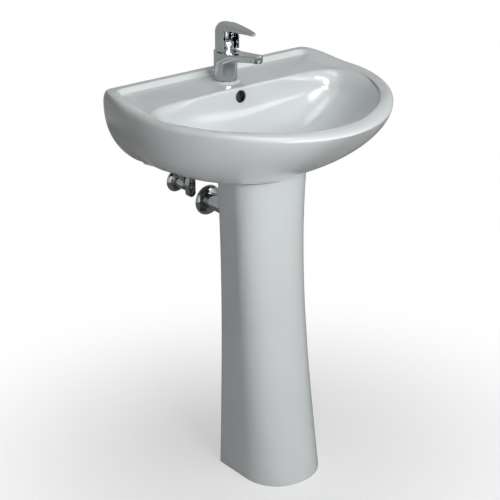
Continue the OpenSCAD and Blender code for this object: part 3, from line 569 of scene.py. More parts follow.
class BasinShape:
    """The basin's one continuous skin, worked out from named sizes in millimetres.

    It is a stack of rings. Each ring is made as the half from the middle of the back,
    round the right side, to the middle of the front. Sets of three numbers are for the
    back, the side and the front.
    """

    shell = 12.0
    back_steps, corner_steps, side_steps, front_steps = 22, 8, 30, 56
    # rim, the widest line of the basin
    corner = 14.0
    rim_drop = 24.0
    rim_back_inset = 23.5
    rim_wide_y = 62.6
    rim_p, rim_q = 1.79, 2.27
    side_ease = 0.22
    rim_in_extra = 2
    side_rim, front_rim = 50.0, 39.0
    nose_drop = 7.0
    # neck, where the bulb meets the column
    neck_below = 172.5
    neck_drop = 4.5
    neck_half, neck_back_half = 89.8, 169.7
    neck_wide_y, neck_front_y = 50.0, -34.0
    neck_p, neck_q = 2.2, 0.673
    neck_in_front = 20
    bulb_m = (2.235, 2.477, 1.025)
    bulb_n = (0.8, 0.599, 0.785)
    # upstand and deck
    crest_drop, crest_fall = 8, 11.5
    upstand_r, upstand_foot, upstand_end = 6.0, 19, 27
    upstand_fade = (0.42, 0.94)
    rim_r_back, rim_r_reach = 12, 113
    back_fade = (34, 2)
    deck_back = 27
    deck_depth = 114.0
    deck_fall = 6.5
    edge_drop = 5.0
    edge_fall = 3.3
    rim_inner_end, soft_inner_end = 44, 38
    level_end = 26
    # soft lip at the sides of the bowl
    lip_start, lip_span, lip_power = 0.04, 0.86, 1.5
    lip_grow, lip_soft_grow, lip_drop, lip_turn = 4, 14, 5, 15
    # bowl
    bowl_wide_y = 45.0
    bowl_front_p, bowl_back_p = 2.15, 3.0
    bowl_depth = 122.0
    bowl_power = (1.6, 1.25, 1.5)
    waste_y = 25.0
    sump, sump_t, sump_out = 20.0, 14.0, 36
    # hollow under the bowl, and the hood of the overflow duct
    roof_turn = (2, 12, 56)
    under_start = 72
    duct_half, duct_t = 26.0, 15.0
    duct_fade = (58, 82)
    duct_skin = 6
    # holes and cut-outs
    seat_r = 26.5
    tap_hole_r, tap_recess_r, tap_deck_t = 17.5, 24, 9
    waste_hole_r, waste_seat_r, waste_seat_t = 22, 33, 3
    stud_hole_r = 8.5
    notch_foot_half, notch_half, notch_knee_h, notch_h = 150, 132, 40, 78
    overflow_drop, overflow_soft = 25, 2.2

    def __init__(self, sizes):
        self.wall = sizes.basin_d / MM / 2
        self.half = sizes.basin_w / MM / 2
        self.top = sizes.basin_h / MM
        self.deck = self.top - sizes.upstand_h / MM
        self.rim_z = self.top - self.rim_drop
        self.neck_z = self.top - self.neck_below
        self.bulb_z = self.neck_z + self.neck_drop
        self.back_half = self.half - self.rim_back_inset
        self.bowl_half = self.half - self.side_rim
        self.bowl_back = self.wall - self.deck_depth
        self.bowl_front = -self.wall + self.front_rim
        self.waste_z = self.deck - self.deck_fall - 1 - self.bowl_depth
        self.rim = self.rim_plan(0)
        self.rim_in = self.rim_plan(self.shell, self.rim_in_extra)
        self.neck = self.neck_plan(0, 0)
        self.neck_in = self.neck_plan(self.shell, self.neck_in_front)
        k = np.arange(len(self.rim)) - (self.back_steps + self.corner_steps)
        on_side = 0.5 * k / self.side_steps
        on_front = 0.5 + 0.5 * (k - self.side_steps) / self.front_steps
        self.place = np.where(k <= 0, 0.0, np.where(k <= self.side_steps, on_side, on_front))

    def side_x(self, half, back_half, back, wide, q, y):
        v = (y - wide) / (back - wide)
        return half - (half - back_half) * power(v, q) * smooth(0, self.side_ease, v)

    def half_ring(self, half, back_half, back, wide, front, p, q):
        """Plan of half a ring: straight back, bent corner, side and nose."""
        rc = self.corner
        straight = [((back_half - rc) * (i / self.back_steps) ** 0.95, back) for i in range(self.back_steps)]
        x2 = float(self.side_x(half, back_half, back, wide, q, back - rc))
        bend = []
        for j in range(self.corner_steps + 1):
            t = j / self.corner_steps
            x = (1 - t) ** 2 * (back_half - rc) + 2 * t * (1 - t) * back_half + t * t * x2
            bend.append((x, back - t * t * rc))
        side = []
        for i in range(1, self.side_steps + 1):
            y = lerp(back - rc, wide, i / self.side_steps)
            side.append((float(self.side_x(half, back_half, back, wide, q, y)), y))
        nose = []
        for i in range(1, self.front_steps + 1):
            s = math.pi / 2 * i / self.front_steps
            x = 0.0 if i == self.front_steps else half * max(0, math.cos(s)) ** (2 / p)
            nose.append((x, wide + (front - wide) * math.sin(s) ** (2 / p)))
        return np.array(straight + bend + side + nose)

    def rim_plan(self, inset, extra=0):
        half, back, front = self.half - inset - extra, self.wall - inset, -self.wall + inset
        back_half = self.back_half - inset
        return self.half_ring(half, back_half, back, self.rim_wide_y, front, self.rim_p, self.rim_q)

    def neck_plan(self, inset, front_inset):
        half, back_half = self.neck_half - inset, self.neck_back_half - inset
        back, front = self.wall - inset, self.neck_front_y + front_inset
        return self.half_ring(half, back_half, back, self.neck_wide_y, front, self.neck_p, self.neck_q)

    def bulb(self, t, inner=False):
        """Ring of the outside, or of the hollow, from the rim at t = 0 down to the neck at t = 1."""
        a, b = (self.neck_in, self.rim_in) if inner else (self.neck, self.rim)
        t = np.broadcast_to(t, self.place.shape)
        m, n = three(*self.bulb_m, self.place), three(*self.bulb_n, self.place)
        share = power(1 - power(t, m), n)[:, None]
        top = self.nose_z(self.rim[:, 1])
        return with_height(a + (b - a) * share, top - (top - self.bulb_z) * t)

    def soft(self):
        """Share of the wide soft lip: whole at the sides, none at the back and the front."""
        turn = np.clip((self.place - self.lip_start) / self.lip_span, 0, 1)
        return np.sin(math.pi * turn) ** self.lip_power

    def edge_z(self, y):
        """Height of the deck and of the line round the bowl."""
        back = self.wall - self.deck_back
        fall = self.deck_fall * np.clip((back - y) / (back - self.bowl_back), 0, 1)
        front = np.maximum(0, self.bowl_back - y) / (self.bowl_back - self.bowl_front)
        return self.deck - fall - self.edge_fall * front

    def nose_z(self, y):
        """Height of the rim's widest line."""
        return self.rim_z - self.nose_drop * smooth(0.4 * self.wall, self.wall, -y)

    def top_z(self, d):
        """Height of the top at distance d inside the outer edge, for each point of the outline."""
        y = self.rim[:, 1]
        upstand = smooth(*(share * self.wall for share in self.upstand_fade), y)
        forward = power((self.wall - y) / (2 * self.wall), 1.5)
        crest = self.top - self.crest_drop - self.crest_fall * forward
        c = lerp(crest, self.top, upstand)
        inset = lerp(self.front_rim - 2, self.rim_r_back, np.clip((y + self.wall) / self.rim_r_reach, 0, 1))
        rd = lerp(inset, self.upstand_r, upstand)
        nose = self.nose_z(y)
        up = nose + (c - nose) * np.sqrt(np.maximum(0, 1 - np.square(1 - np.clip(d / rd, 0, 1))))
        fade_from, fade_to = self.back_fade
        far = smooth(self.wall - fade_from, self.wall - fade_to, y)
        inner_end = lerp(np.maximum(self.rim_inner_end, rd + 6), self.soft_inner_end, self.soft())
        down = lerp(smooth(rd, inner_end, d), smooth(self.upstand_foot, self.upstand_end, d), far)
        return np.where(d < rd, up, lerp(c, self.edge_z(y), down))

    def top_ring(self, d):
        return with_height(self.rim_plan(d), self.top_z(d))

    def opening(self, grow=0.0):
        """Plan of the bowl's edge."""
        dx, dy = self.rim[:, 0], self.rim[:, 1] - self.bowl_wide_y
        a = self.bowl_half + grow
        back = dy > 0
        to_back = self.bowl_back + grow - self.bowl_wide_y
        to_front = self.bowl_wide_y - self.bowl_front + grow
        b = np.where(back, to_back, to_front)
        p = np.where(back, self.bowl_back_p, self.bowl_front_p)
        k = np.power(np.power(np.abs(dx) / a, p) + np.power(np.abs(dy) / b, p), -1 / p)
        return np.column_stack([dx * k, self.bowl_wide_y + dy * k])

    def open_ring(self, grow, drop):
        p = self.opening(grow)
        return with_height(p, self.edge_z(p[:, 1]) - drop)

    def away(self):
        """Directions in plan from the waste to the bowl's edge."""
        v = self.opening() - [0, self.waste_y]
        return v / np.linalg.norm(v, axis=1)[:, None]

    def round_waste(self, r):
        return np.array([0, self.waste_y]) + self.away() * r

    def bowl(self, f):
        """f runs from 0 at the edge to a quarter turn at the waste."""
        f = np.broadcast_to(f, self.place.shape)
        o, w = self.opening(), self.round_waste(self.sump)
        g = power(np.cos(f), three(*self.bowl_power, self.place))
        g = np.where(f >= math.pi / 2 - 1e-9, 0, g)[:, None]
        top = self.edge_z(o[:, 1]) - self.edge_drop
        return with_height(w + (o - w) * g, top - (top - self.waste_z) * np.sin(f))

    def duct(self, f):
        """Extra depth of the shell behind the bowl, where the overflow duct runs."""
        flat = self.rim[:, 1] > self.wall - 1
        across = 1 - smooth(self.duct_half + 4, self.duct_half + 16, self.opening()[:, 0])
        return np.where(flat, self.duct_t * across * (1 - smooth(*self.duct_fade, np.degrees(f))), 0)

    def under(self, f):
        """Underside of the bowl."""
        f = np.broadcast_to(f, self.place.shape)
        p, n = self.bowl(f), self.away()
        e = self.shell - 1 + self.duct(f)
        return with_height(p[:, :2] + n * (e * np.cos(f))[:, None], p[:, 2] - e * np.sin(f))

    def skirt_rings(self):
        """Outside, from the neck up to the rim."""
        return [with_height(self.neck, self.neck_z)] + [
            self.bulb(t) for t in 1 - np.power(np.linspace(0, 1, 44), 1.35)
        ]

    def rim_rings(self):
        """Over the rim, or the upstand, and on to the line round the bowl."""
        over = np.square(np.linspace(0.2, 2.6, 13))
        rings = [self.top_ring(d) for d in np.concatenate([over, np.linspace(7.5, self.level_end, 27)])]
        last, edge = self.top_ring(self.level_end), self.lip_edge()
        reach = np.linalg.norm(edge[:, :2] - self.rim, axis=1)
        at_edge = self.top_z(reach)
        for t in np.linspace(0, 1, 10)[1:-1]:
            ring = last + (edge - last) * t
            ring[:, 2] = self.top_z(lerp(self.level_end, reach, t)) + (edge[:, 2] - at_edge) * t
            rings.append(ring)
        return rings

    def lip_edge(self):
        return self.open_ring(self.lip_grow + self.lip_soft_grow * self.soft(), 0)

    def bowl_rings(self):
        """Over the lip and down the bowl to the waste."""
        lip_end = np.radians(self.lip_turn) * self.soft()
        edge, start = self.lip_edge(), self.bowl(lip_end)
        corner = self.open_ring(0.3, self.lip_drop * self.soft())
        rings = [bent(edge, corner, start, t) for t in np.linspace(0, 1, 11)]
        return rings + [self.bowl(lerp(lip_end, math.pi / 2, t)) for t in np.linspace(0, 1, 40)[1:]]

    def hollow_rings(self):
        """Underside: round the waste, out under the bowl, and down inside the skirt."""
        under_z = self.waste_z - self.sump_t
        rings = [with_height(self.round_waste(r), under_z) for r in (self.sump, self.sump_out)]
        roof = np.radians(three(*self.roof_turn, self.place))
        under_start = math.radians(self.under_start)
        rings += [self.under(lerp(under_start, roof, t)) for t in np.linspace(0, 1, 12)]
        nose = self.nose_z(self.rim[:, 1])
        roof_t = np.clip((nose - self.under(roof)[:, 2]) / (nose - self.bulb_z), 0, 1)
        rings += [self.bulb(lerp(roof_t, 1, t), True) for t in np.linspace(0, 1, 12)]
        return rings + [with_height(self.neck_in, self.neck_z)]

    def rings(self):
        """Every ring of the skin, with the name of its finish."""
        glazed = self.skirt_rings() + self.rim_rings() + self.bowl_rings()
        return [("glaze", ring) for ring in glazed] + [("biscuit", ring) for ring in self.hollow_rings()]


def ring_skin(name, rings, finishes):
    """A closed skin through half rings that are mirrored in the middle; it ends where it starts."""
    points, marks = [], []
    for finish, half in rings:
        other = half[-2:0:-1] * [-1, 1, 1]
        points.append(np.vstack([half, other]))
        marks.append(finishes.index(finish))
    around, count = len(points[0]), len(points)
    faces, slots = [], []
    for k in range(count):
        a, b = k * around, ((k + 1) % count) * around
        for i in range(around):
            j = (i + 1) % around
            faces.append((a + i, a + j, b + j, b + i))
            slots.append(marks[min(k + 1, count - 1)])
    obj = new_object(name, np.vstack(points), faces, *finishes)
    obj.data.polygons.foreach_set("material_index", slots)
    return obj


def flared_cutter(radius, round_by, base, axis, depth, above=6.0):
    """Round hole cutter whose mouth, at base, opens out in an arc; its bore gets the painted shade of the
    duct.
    """
    arc = [
        (radius + round_by * (1 - math.cos(a)), round_by * (math.sin(a) - 1))
        for a in np.linspace(0, math.pi / 2, 9)
    ]
    outline = [(0, -depth), (radius, -depth), *arc, (radius + round_by + 0.01, above), (0, above)]
    obj = clean(new_object("cutter", *turned_mesh(outline, base, axis, 72), "glaze", "duct"))
    mouth = Vector(base) * MM
    # faces deeper in the bore than the soft mouth get slot 1, the painted shade of the duct
    for face in obj.data.polygons:
        if (face.center - mouth).dot(Vector(axis)) < -round_by * MM:
            face.material_index = 1
    return obj


def tap_seat(shape):
    """Low round seat on the deck under the tap."""
    r = shape.seat_r
    outline = rounded([(0, -8), (r + 6, -8), (r, 0), (0, 0)], [0, 0, 1.6, 0])
    return turned("seat", outline, (0, middle("tap_base_seal")[1], shape.deck), UP, "glaze")


def basin_holes(shape):
    """Cutters for the holes of the tap and the waste, each with its recess, and of the studs."""
    tap_y, waste_y, waste_z = middle("tap_base_seal")[1], shape.waste_y, shape.waste_z
    under_deck = shape.deck - shape.tap_deck_t
    stud_x, _, stud_z = middle("wall_stud_right")
    cutters = [
        cylinder(shape.tap_hole_r, (0, tap_y, shape.deck - 30), UP, 60, finish="glaze"),
        cylinder(shape.tap_recess_r, (0, tap_y, under_deck - 20), UP, 20, finish="biscuit"),
        cylinder(shape.waste_hole_r, (0, waste_y, waste_z - 30), UP, 60, finish="glaze"),
        cylinder(shape.waste_seat_r, (0, waste_y, waste_z - shape.waste_seat_t), UP, 20, finish="glaze"),
    ]
    for _, s in SIDES:
        start = (s * stud_x, shape.wall - 30, stud_z)
        cutters.append(cylinder(shape.stud_hole_r, start, TO_WALL, 40, finish="biscuit"))
    return cutters


def wall_notch(shape):
    """Cutter for the opening in the back of the skirt, through which the pipes pass."""
    foot, half, top = shape.notch_foot_half, shape.notch_half, shape.neck_z + shape.notch_h
    low, knee = shape.neck_z - 1, shape.neck_z + shape.notch_knee_h
    outline = [(-foot, low), (foot, low), (half, knee), (half, top), (-half, top), (-half, knee)]
    outline = rounded(outline, [0, 0, 60, 10, 10, 60], 8)
    mesh = prism_mesh(outline, (0, shape.wall - 25, 0), TO_WALL, 50, UP)
    return new_object("cutter", *mesh, "biscuit")


def overflow_hole(shape, radius):
    """Cutter for a round hole with a soft mouth, square to the bowl's back wall."""
    hole_z = shape.deck - shape.overflow_drop
    back_wall = [shape.bowl(math.radians(a))[0] for a in range(2, 30)]
    nearest = min(range(len(back_wall)), key=lambda i: abs(back_wall[i][2] - hole_z))
    along = back_wall[nearest] - back_wall[nearest - 1]
    normal = np.array([0, along[2], -along[1]])
    normal = normal / np.linalg.norm(normal)
    if normal[1] > 0:
        normal = -normal
    return flared_cutter(radius, shape.overflow_soft, back_wall[nearest], tuple(normal), 20)


def overflow_duct(shape):
    """Cutter for the flat duct in the thick back of the shell, from the overflow to the waste; its walls get
    the painted shade.
    """
    skin = shape.duct_skin
    turns = [math.radians(a) for a in range(8, 75, 11)]

    def behind(turn, depth):
        p = shape.bowl(turn)[0]
        return p[1] + depth * math.cos(turn), p[2] - depth * math.sin(turn)

    near_side = [behind(a, skin) for a in turns]
    far_side = [behind(a, shape.shell - skin + shape.duct(a)[0]) for a in turns[::-1]]
    end_y, end_high, end_low = shape.waste_y + 18, shape.waste_z - 5.5, shape.waste_z - 9.5
    outline = near_side + [(end_y, end_high), (end_y, end_low)] + far_side
    return sideways(outline, 2 * (shape.duct_half - 8), "cutter", "duct")


class SINK_OT_basin(bpy.types.Operator):
    """Make the basin: one glazed skin with its bowl, upstand, overflow, tap hole and hollow underside"""

    bl_idname = "sink.basin"
    bl_label = "Basin"

    def execute(self, context):
        sizes = context.scene.sink_sizes
        shape = BasinShape(sizes)
        # slot duct holds the painted shade inside the overflow hole and duct
        obj = ring_skin("basin_ceramic", shape.rings(), ["glaze", "biscuit", "duct"])
        clean(obj, FINE_GAP)
        combine(obj, [tap_seat(shape)], "UNION")
        overflow = overflow_hole(shape, sizes.overflow_d / MM / 2)
        combine(obj, [*basin_holes(shape), wall_notch(shape), overflow, overflow_duct(shape)])
        hand_over(obj, "fixture", ["basin"], 40)
        return {"FINISHED"}


# ---- ceramic: the pedestal ----


class ColumnShape:
    """Hollow column, open at the back. The curves give its width and depth over its height."""

    wall = 12.0
    power_p = 2.2
    foot_half, foot_nose = 86.7, 98.2
    half_curve = (-18.32, 4.07, 15.12)
    nose_curve = (110.8, 11.6, -52.85)
    rear = 73.6
    scale_drop = 10
    levels, rear_steps, front_steps = 64, 14, 44
    foot_round, top_round = 5.0, 2.5
    glaze_depth = 8
    lug_r, lug_reach, lug_h, screw_hole_r = 13, 27, 15, 4

    def __init__(self):
        self.top = COLUMN_TOP
        self.scale_h = self.top - self.scale_drop

    def half_at(self, v):
        a, b, c = self.half_curve
        return self.foot_half + a * v + b * v**2 + c * v**3

    def nose_at(self, v):
        a, b, c = self.nose_curve
        return -self.foot_nose + a * v + b * v**2 + c * v**3

    def outline(self, half, rear, nose):
        wide = (rear + nose) / 2
        right = [(half, lerp(rear, wide, i / self.rear_steps)) for i in range(self.rear_steps)]
        e = 2 / self.power_p
        for i in range(self.front_steps + 1):
            s = math.pi / 2 * i / self.front_steps
            right.append((half * max(0, math.cos(s)) ** e, wide + (nose - wide) * math.sin(s) ** e))
        right[-1] = (0.0, nose)
        return right + [(-x, y) for x, y in right[-2::-1]]

    def wall_ring(self, z, inset_out=0.0, inset_in=0.0):
        """Outline of the wall at one height, round outside, rear edge, inside and rear edge."""
        v = z / self.scale_h
        half, nose = self.half_at(v), self.nose_at(v)
        out = self.outline(half - inset_out, self.rear, nose + inset_out)
        t = self.wall - inset_in
        inner = self.outline(half - t, self.rear, nose + t)[::-1]
        ring = [*out, *self.rear_edge(out[-1], inner[0]), *inner, *self.rear_edge(inner[-1], out[0])]
        return [(x, y, z) for x, y in ring]

    def rear_edge(self, a, b, steps=6):
        """Flat round between the ends of the outer and the inner face."""
        cx, r = (a[0] + b[0]) / 2, abs(a[0] - b[0]) / 2
        sign = 1 if a[0] > b[0] else -1
        turns = [math.pi * k / steps for k in range(1, steps)]
        return [(cx + sign * r * math.cos(a), self.rear + 0.5 * r * math.sin(a)) for a in turns]

    def is_inside(self, x, y, z):
        """Whether a place is in the hollow or in the inner part of the wall."""
        v = z / self.scale_h
        half, nose = self.half_at(v) - self.glaze_depth, self.nose_at(v) + self.glaze_depth
        if abs(x) >= half or y <= nose or y >= self.rear + 1:
            return False
        wide = (self.rear + nose) / 2
        t = max(0, (y - wide) / (nose - wide))
        return (abs(x) / half) ** self.power_p + t**self.power_p < 1


def column_mesh(shape):
    """Wall of the column from the floor to the top, its outer foot and top edges rounded."""
    foot, crown = shape.foot_round, shape.top_round
    rings = []
    for a in [math.pi / 2 * k / 6 for k in range(7)]:
        rings.append(shape.wall_ring(foot * (1 - math.cos(a)), foot * 0.6 * (1 - math.sin(a)), 0.4))
    high = shape.top - crown
    rings += [shape.wall_ring(z) for z in np.linspace(foot, high, shape.levels)[1:]]
    for a in [math.pi / 2 * k / 5 for k in range(1, 6)]:
        rings.append(shape.wall_ring(high + crown * math.sin(a), crown * (1 - math.cos(a)), 0.2))
    n = len(rings[0])
    points = [p for ring in rings for p in ring]
    faces = []
    for k in range(len(rings) - 1):
        for i in range(n):
            j = (i + 1) % n
            faces.append((k * n + i, k * n + j, (k + 1) * n + j, (k + 1) * n + i))
    # caps join the outer and the inner face across the wall
    outer = len(shape.outline(1, 1, 0))
    edge = (n - 2 * outer) // 2
    last = 2 * outer + edge - 1
    for base, flip in ((0, True), ((len(rings) - 1) * n, False)):
        for i in range(outer - 1):
            quad = (base + i, base + i + 1, base + last - 1 - i, base + last - i)
            faces.append(quad[::-1] if flip else quad)
        for start in (outer - 1, last):
            ring = [base + (start + k) % n for k in range(edge + 2)]
            faces.append(ring[::-1] if flip else ring)
    return points, faces


def screw_lug(shape, x, y, s):
    """Lug in the column's foot, round at its inner end."""
    r, out = shape.lug_r, x + s * shape.lug_reach
    arc = [(x - s * r * math.sin(a), y - r * math.cos(a)) for a in np.linspace(0, math.pi, 25)]
    lug = upright([(out, y + r), (out, y - r), *arc], 0, shape.lug_h, "lug", "biscuit")
    return bevel(lug, 1.5, 50, 2)


class SINK_OT_pedestal(bpy.types.Operator):
    """Make the pedestal: a hollow glazed column, open at the back, with two screw lugs in its foot"""

    bl_idname = "sink.pedestal"
    bl_label = "Pedestal"

    def execute(self, context):
        shape = ColumnShape()
        obj = clean(new_object("pedestal_ceramic", *column_mesh(shape), "glaze", "biscuit"), FINE_GAP)
        screws = [(*middle(f"floor_screw_{side}")[:2], s) for side, s in SIDES]
        combine(obj, [screw_lug(shape, x, y, s) for x, y, s in screws], "UNION")
        r, depth = shape.screw_hole_r, shape.lug_h + 2
        combine(obj, [cylinder(r, (x, y, -1), UP, depth, 32, "biscuit") for x, y, _ in screws])
        for face in obj.data.polygons:
            level = abs(face.normal.z) > 0.9
            if not level and shape.is_inside(*(c / MM for c in face.center)):
                face.material_index = 1
        hand_over(obj, "fixture", ["pedestal"], 40)
        return {"FINISHED"}


# ---- chrome: the mixer tap ----


def circle_arc(centre, radius, start, end, steps):
    """Points of an arc in a plane, angles in degrees."""
    angles = np.radians(np.linspace(start, end, steps + 1))
    return [(centre[0] + radius * math.cos(a), centre[1] + radius * math.sin(a)) for a in angles]


def drawn_circle(near, near_r, far, far_r, steps=64):
    """Outline round two circles on the line x = 0, the second nearer the front."""
    lean = math.degrees(math.asin((near_r - far_r) / (near - far)))
    outline = circle_arc((0, near), near_r, -lean, 180 + lean, steps)
    return outline + circle_arc((0, far), far_r, 180 + lean, 360 - lean, steps // 2)


def hull_of(points):
    """Convex skin round the points."""
    obj = new_object("block", points, [], "chrome")
    bm = bmesh.new()
    bm.from_mesh(obj.data)
    hull = bmesh.ops.convex_hull(bm, input=bm.verts)
    spare = [v for v in hull["geom_interior"] + hull["geom_unused"] if isinstance(v, bmesh.types.BMVert)]
    bmesh.ops.delete(bm, geom=list(set(spare)), context="VERTS")
    bmesh.ops.dissolve_limit(bm, angle_limit=math.radians(0.05), verts=bm.verts, edges=bm.edges)
    bm.to_mesh(obj.data)
    bm.free()
    return obj


def swept_profile(profile, centre, steps=96):
    """Points of a (radius, height) profile turned round an upright axis."""
    x, y, z = centre
    angles = np.linspace(0, 2 * math.pi, steps, endpoint=False)
    return [(x + r * math.cos(a), y + r * math.sin(a), z + h) for r, h in profile for a in angles]


class TapShape:
    """Sizes of the mixer tap in millimetres; its heights start at the deck."""

    body_h, peak_h, bore_h = 58.5, 116.59, 56
    foot_r, casting_r, tip_r = 23.5, 24.1, 12.2
    belly_in, belly_low = 3.5, 7.0
    arch_foot, arch_knee, arch_shoulder = 16, (1, 47), (45, 54)
    slope = 0.135
    spout_reach, lever_reach, lever_tip_r = 99.0, 93.0, 7.5
    hood_r, hood_in, hood_side, hood_round = 21.2, 18.1, 38.0, 18.0
    roof_h = 47
    lever_curve, lever_crest = 0.00106, 13
    lip_gap, lip_lift = 0.4, 0.27
    cartridge_r, cartridge_depth = 17.6, 24
    stud_r, stud_inset = 4.05, 9
    tail_r, tail_gap, tail_y, tail_depth = 5.1, 9.5, 4, 35.5
    bore_r, bore_depth = 11.0, 9.6
    way_r, way_lean, way_h = 3.8, 6.3, 61
    stem_half, stem_h = 4.03, 45.2
    screw_h, screw_r, screw_head_r = 37, 2.6, 4.2

    def __init__(self):
        self.deck, self.y = span("tap_base_seal")[0][2], middle("tap_base_seal")[1]
        self.body_top = self.deck + self.body_h
        self.peak = self.deck + self.peak_h
        self.roof = self.body_top + self.roof_h
        self.spout_y = self.y - self.spout_reach
        self.tip_y = self.y - self.lever_reach
        self.bore_z = self.deck + self.bore_h

    def casting_side(self, low):
        """Side outline of the casting: its lower edge sweeps up from the back like an arch."""
        y, d, end, root = self.y, self.deck, self.spout_y, self.y - 24
        bottom = d - 2 - low / 4
        foot = np.array((y + self.arch_foot - low, d))
        knee = np.array((y - self.arch_knee[0] - low, d + self.arch_knee[1] - low))
        shoulder = np.array((y - self.arch_shoulder[0], d + self.arch_shoulder[1] - low))
        arch = [bent(foot, knee, shoulder, t) for t in np.linspace(0, 1, 41)]
        under = [(end + 10, d + 60 - low * 0.9), (end - 20, d + 64 - low * 0.9)]
        nose = (end - 20, self.body_top + self.slope * (root - end + 20))
        top = rounded([nose, (root, self.body_top), (y + 40, self.body_top)], 30, 8, False)
        return [(y + 40, bottom), (y + 16.5 - low, bottom), *arch, *under, *top]

    def casting(self, inset, low, edge):
        """Body and spout in one, drawn in by the inset and lowered by low."""
        plan = drawn_circle(self.y, self.casting_r - inset, self.spout_y, self.tip_r - inset)
        block = upright(plan, self.deck - 9, self.deck + 120)
        combine(block, [sideways(self.casting_side(low), 80)], "INTERSECT")
        return bevel(clean(block), edge, 40, 3)

    def body(self, edge):
        """Foot, casting with its belly, and the bores for the cartridge, the tails and the aerator."""
        d, y = self.deck, self.y
        obj = self.casting(0, 0, edge)
        belly = self.casting(self.belly_in, self.belly_low, edge * 1.6)
        foot = cylinder(self.foot_r, (0, y, d - 3), UP, 55, 128)
        boss = cylinder(self.bore_r + 1, (0, self.spout_y, self.bore_z), UP, 9.3)
        for part in (belly, foot, boss):
            combine(obj, [part], "UNION")
        cutters = [
            cylinder(60, (0, y, d - 20), UP, 21),
            cylinder(self.cartridge_r, (0, y, self.body_top - self.cartridge_depth), UP, 60),
            cylinder(self.stud_r, (0, y - self.stud_inset, d), UP, 22, 48),
            cylinder(self.bore_r, (0, self.spout_y, self.bore_z - 1), UP, self.bore_depth + 1),
        ]
        for _, s in SIDES:
            start = (s * self.tail_gap, y + self.tail_y, d)
            cutters.append(cylinder(self.tail_r, start, UP, self.tail_depth, 48))
        lean, start = math.radians(self.way_lean), (0, self.spout_y - 1, d + self.way_h)
        way = (0, math.cos(lean), -math.sin(lean))
        cutters.append(cylinder(self.way_r, start, way, self.spout_reach - 12, 40))
        return clean(combine(obj, cutters), 2 * FINE_GAP)

    def lever_top(self, y):
        return self.peak - self.lever_curve * (y - (self.y - self.lever_crest)) ** 2

    def lever_side(self):
        """Side outline of the lever: its top line, its thin tongue and the opening below."""
        y, lip = self.y, self.body_top + self.lip_gap
        lift, front, back = self.lip_lift, self.y - 18, self.y + self.hood_r + 4
        tip = self.tip_y
        top = [(v, self.lever_top(v)) for v in np.linspace(back, tip - 2, 49)]
        inside = [(front - 1, self.roof), (front, self.roof - 6), (front, lip + lift * 18)]
        below = rounded([(tip + 15, self.roof + 1.4), *inside, (y, lip)], [0, 5, 5, 0, 0], 6, False)
        tongue = [(tip - 2, self.lever_top(tip) - 3.6), (tip + 14, self.roof + 1.4)]
        return [(back, lip + lift * (back - y)), *top, *tongue, *below[1:]]

    def lever(self, edge):
        """Hood over the cartridge, drawn out into a thin tongue, open in front and below."""
        y, top = self.y, self.body_top
        forward = y - 14
        rise = self.peak + 1 - top - self.hood_side
        dome = [(self.hood_r, 0), (self.hood_r, self.hood_side)]
        for a in np.linspace(0, math.pi / 2, 22)[1:]:
            radius = self.hood_r - self.hood_round * (1 - math.cos(a))
            dome.append((radius, self.hood_side + rise * math.sin(a)))
        obj = hull_of(swept_profile(dome, (0, y, top)) + swept_profile(dome, (0, forward, top)))
        base, tip = self.peak - 26, self.tip_y + self.lever_tip_r
        root_rings = swept_profile([(self.hood_r, 0), (self.hood_r - 9, 27)], (0, forward, base))
        tip_rings = swept_profile([(self.lever_tip_r, 0), (self.lever_tip_r - 2, 27)], (0, tip, base))
        combine(obj, [hull_of(root_rings + tip_rings)], "UNION")
        combine(obj, [sideways(self.lever_side(), 80)], "INTERSECT")
        bevel(clean(obj), edge, 40, 3)
        r, w = self.hood_in, self.stem_half
        plan = [(r, y - 60), *circle_arc((0, y), r, 0, 180, 48), (-r, y - 60)]
        hollow = upright(plan, top - 10, self.roof)
        combine(hollow, [cylinder(8, (0, y, top + 31), UP, 20)])
        cutters = [
            hollow,
            upright([(w, y + w), (-w, y + w), (-w, y - w), (w, y - w)], top, top + self.stem_h),
            cylinder(self.screw_r, (0, y, top + self.screw_h), TO_WALL, 40, 40),
            cylinder(self.screw_head_r, (0, y + r - 1, top + self.screw_h), TO_WALL, 10, 48),
        ]
        return clean(combine(obj, cutters), 2 * FINE_GAP)


def dome_outline():
    """Wall of the fixed dome over the cartridge: (radius, height) round its section."""
    foot_r, hole_r, side_h, rise, wall = 17.2, 12.6, 12, 14, 1.2
    turn = math.radians(64)
    arc = [(foot_r * math.cos(a * 0.66), side_h + rise * math.sin(a)) for a in np.linspace(0, turn, 25)]
    inner = [(r - wall, h - wall) for r, h in arc[::-1][1:]]
    end = side_h + rise * math.sin(turn)
    return [(foot_r, 0), *arc, (hole_r, end), (hole_r, end - wall), *inner, (foot_r - wall, 0)]


class SINK_OT_tap(bpy.types.Operator):
    """Make the chrome of the mixer tap: cast body with its spout, hooded lever, dome and aerator housing"""

    bl_idname = "sink.tap"
    bl_label = "Mixer tap"

    def execute(self, context):
        shape = TapShape()
        edge = context.scene.sink_sizes.edge_round / MM
        hand_over(shape.body(edge), "fixture", ["tap_body"], 30).name = "tap_casting"
        hand_over(shape.lever(edge), "lever", ["lever"], 30).name = "lever_hood"
        dome = turned("dome_cover", dome_outline(), (0, shape.y, shape.body_top), UP)
        hand_over(dome, "fixture", ["cartridge_dome"], 30)
        ring = [(8.2, 0), (10.2, 0), (10.9, 0.8), (10.9, 9), (9, 9), (9, 3.4), (8.2, 3.4)]
        sleeve = turned("aerator_sleeve", ring, (0, shape.spout_y, shape.bore_z - 1), UP, round_by=0.25)
        hand_over(sleeve, "fixture", ["aerator_housing"], 30)
        return {"FINISHED"}


# ---- Geometry Nodes: what repeats or follows a rule ----


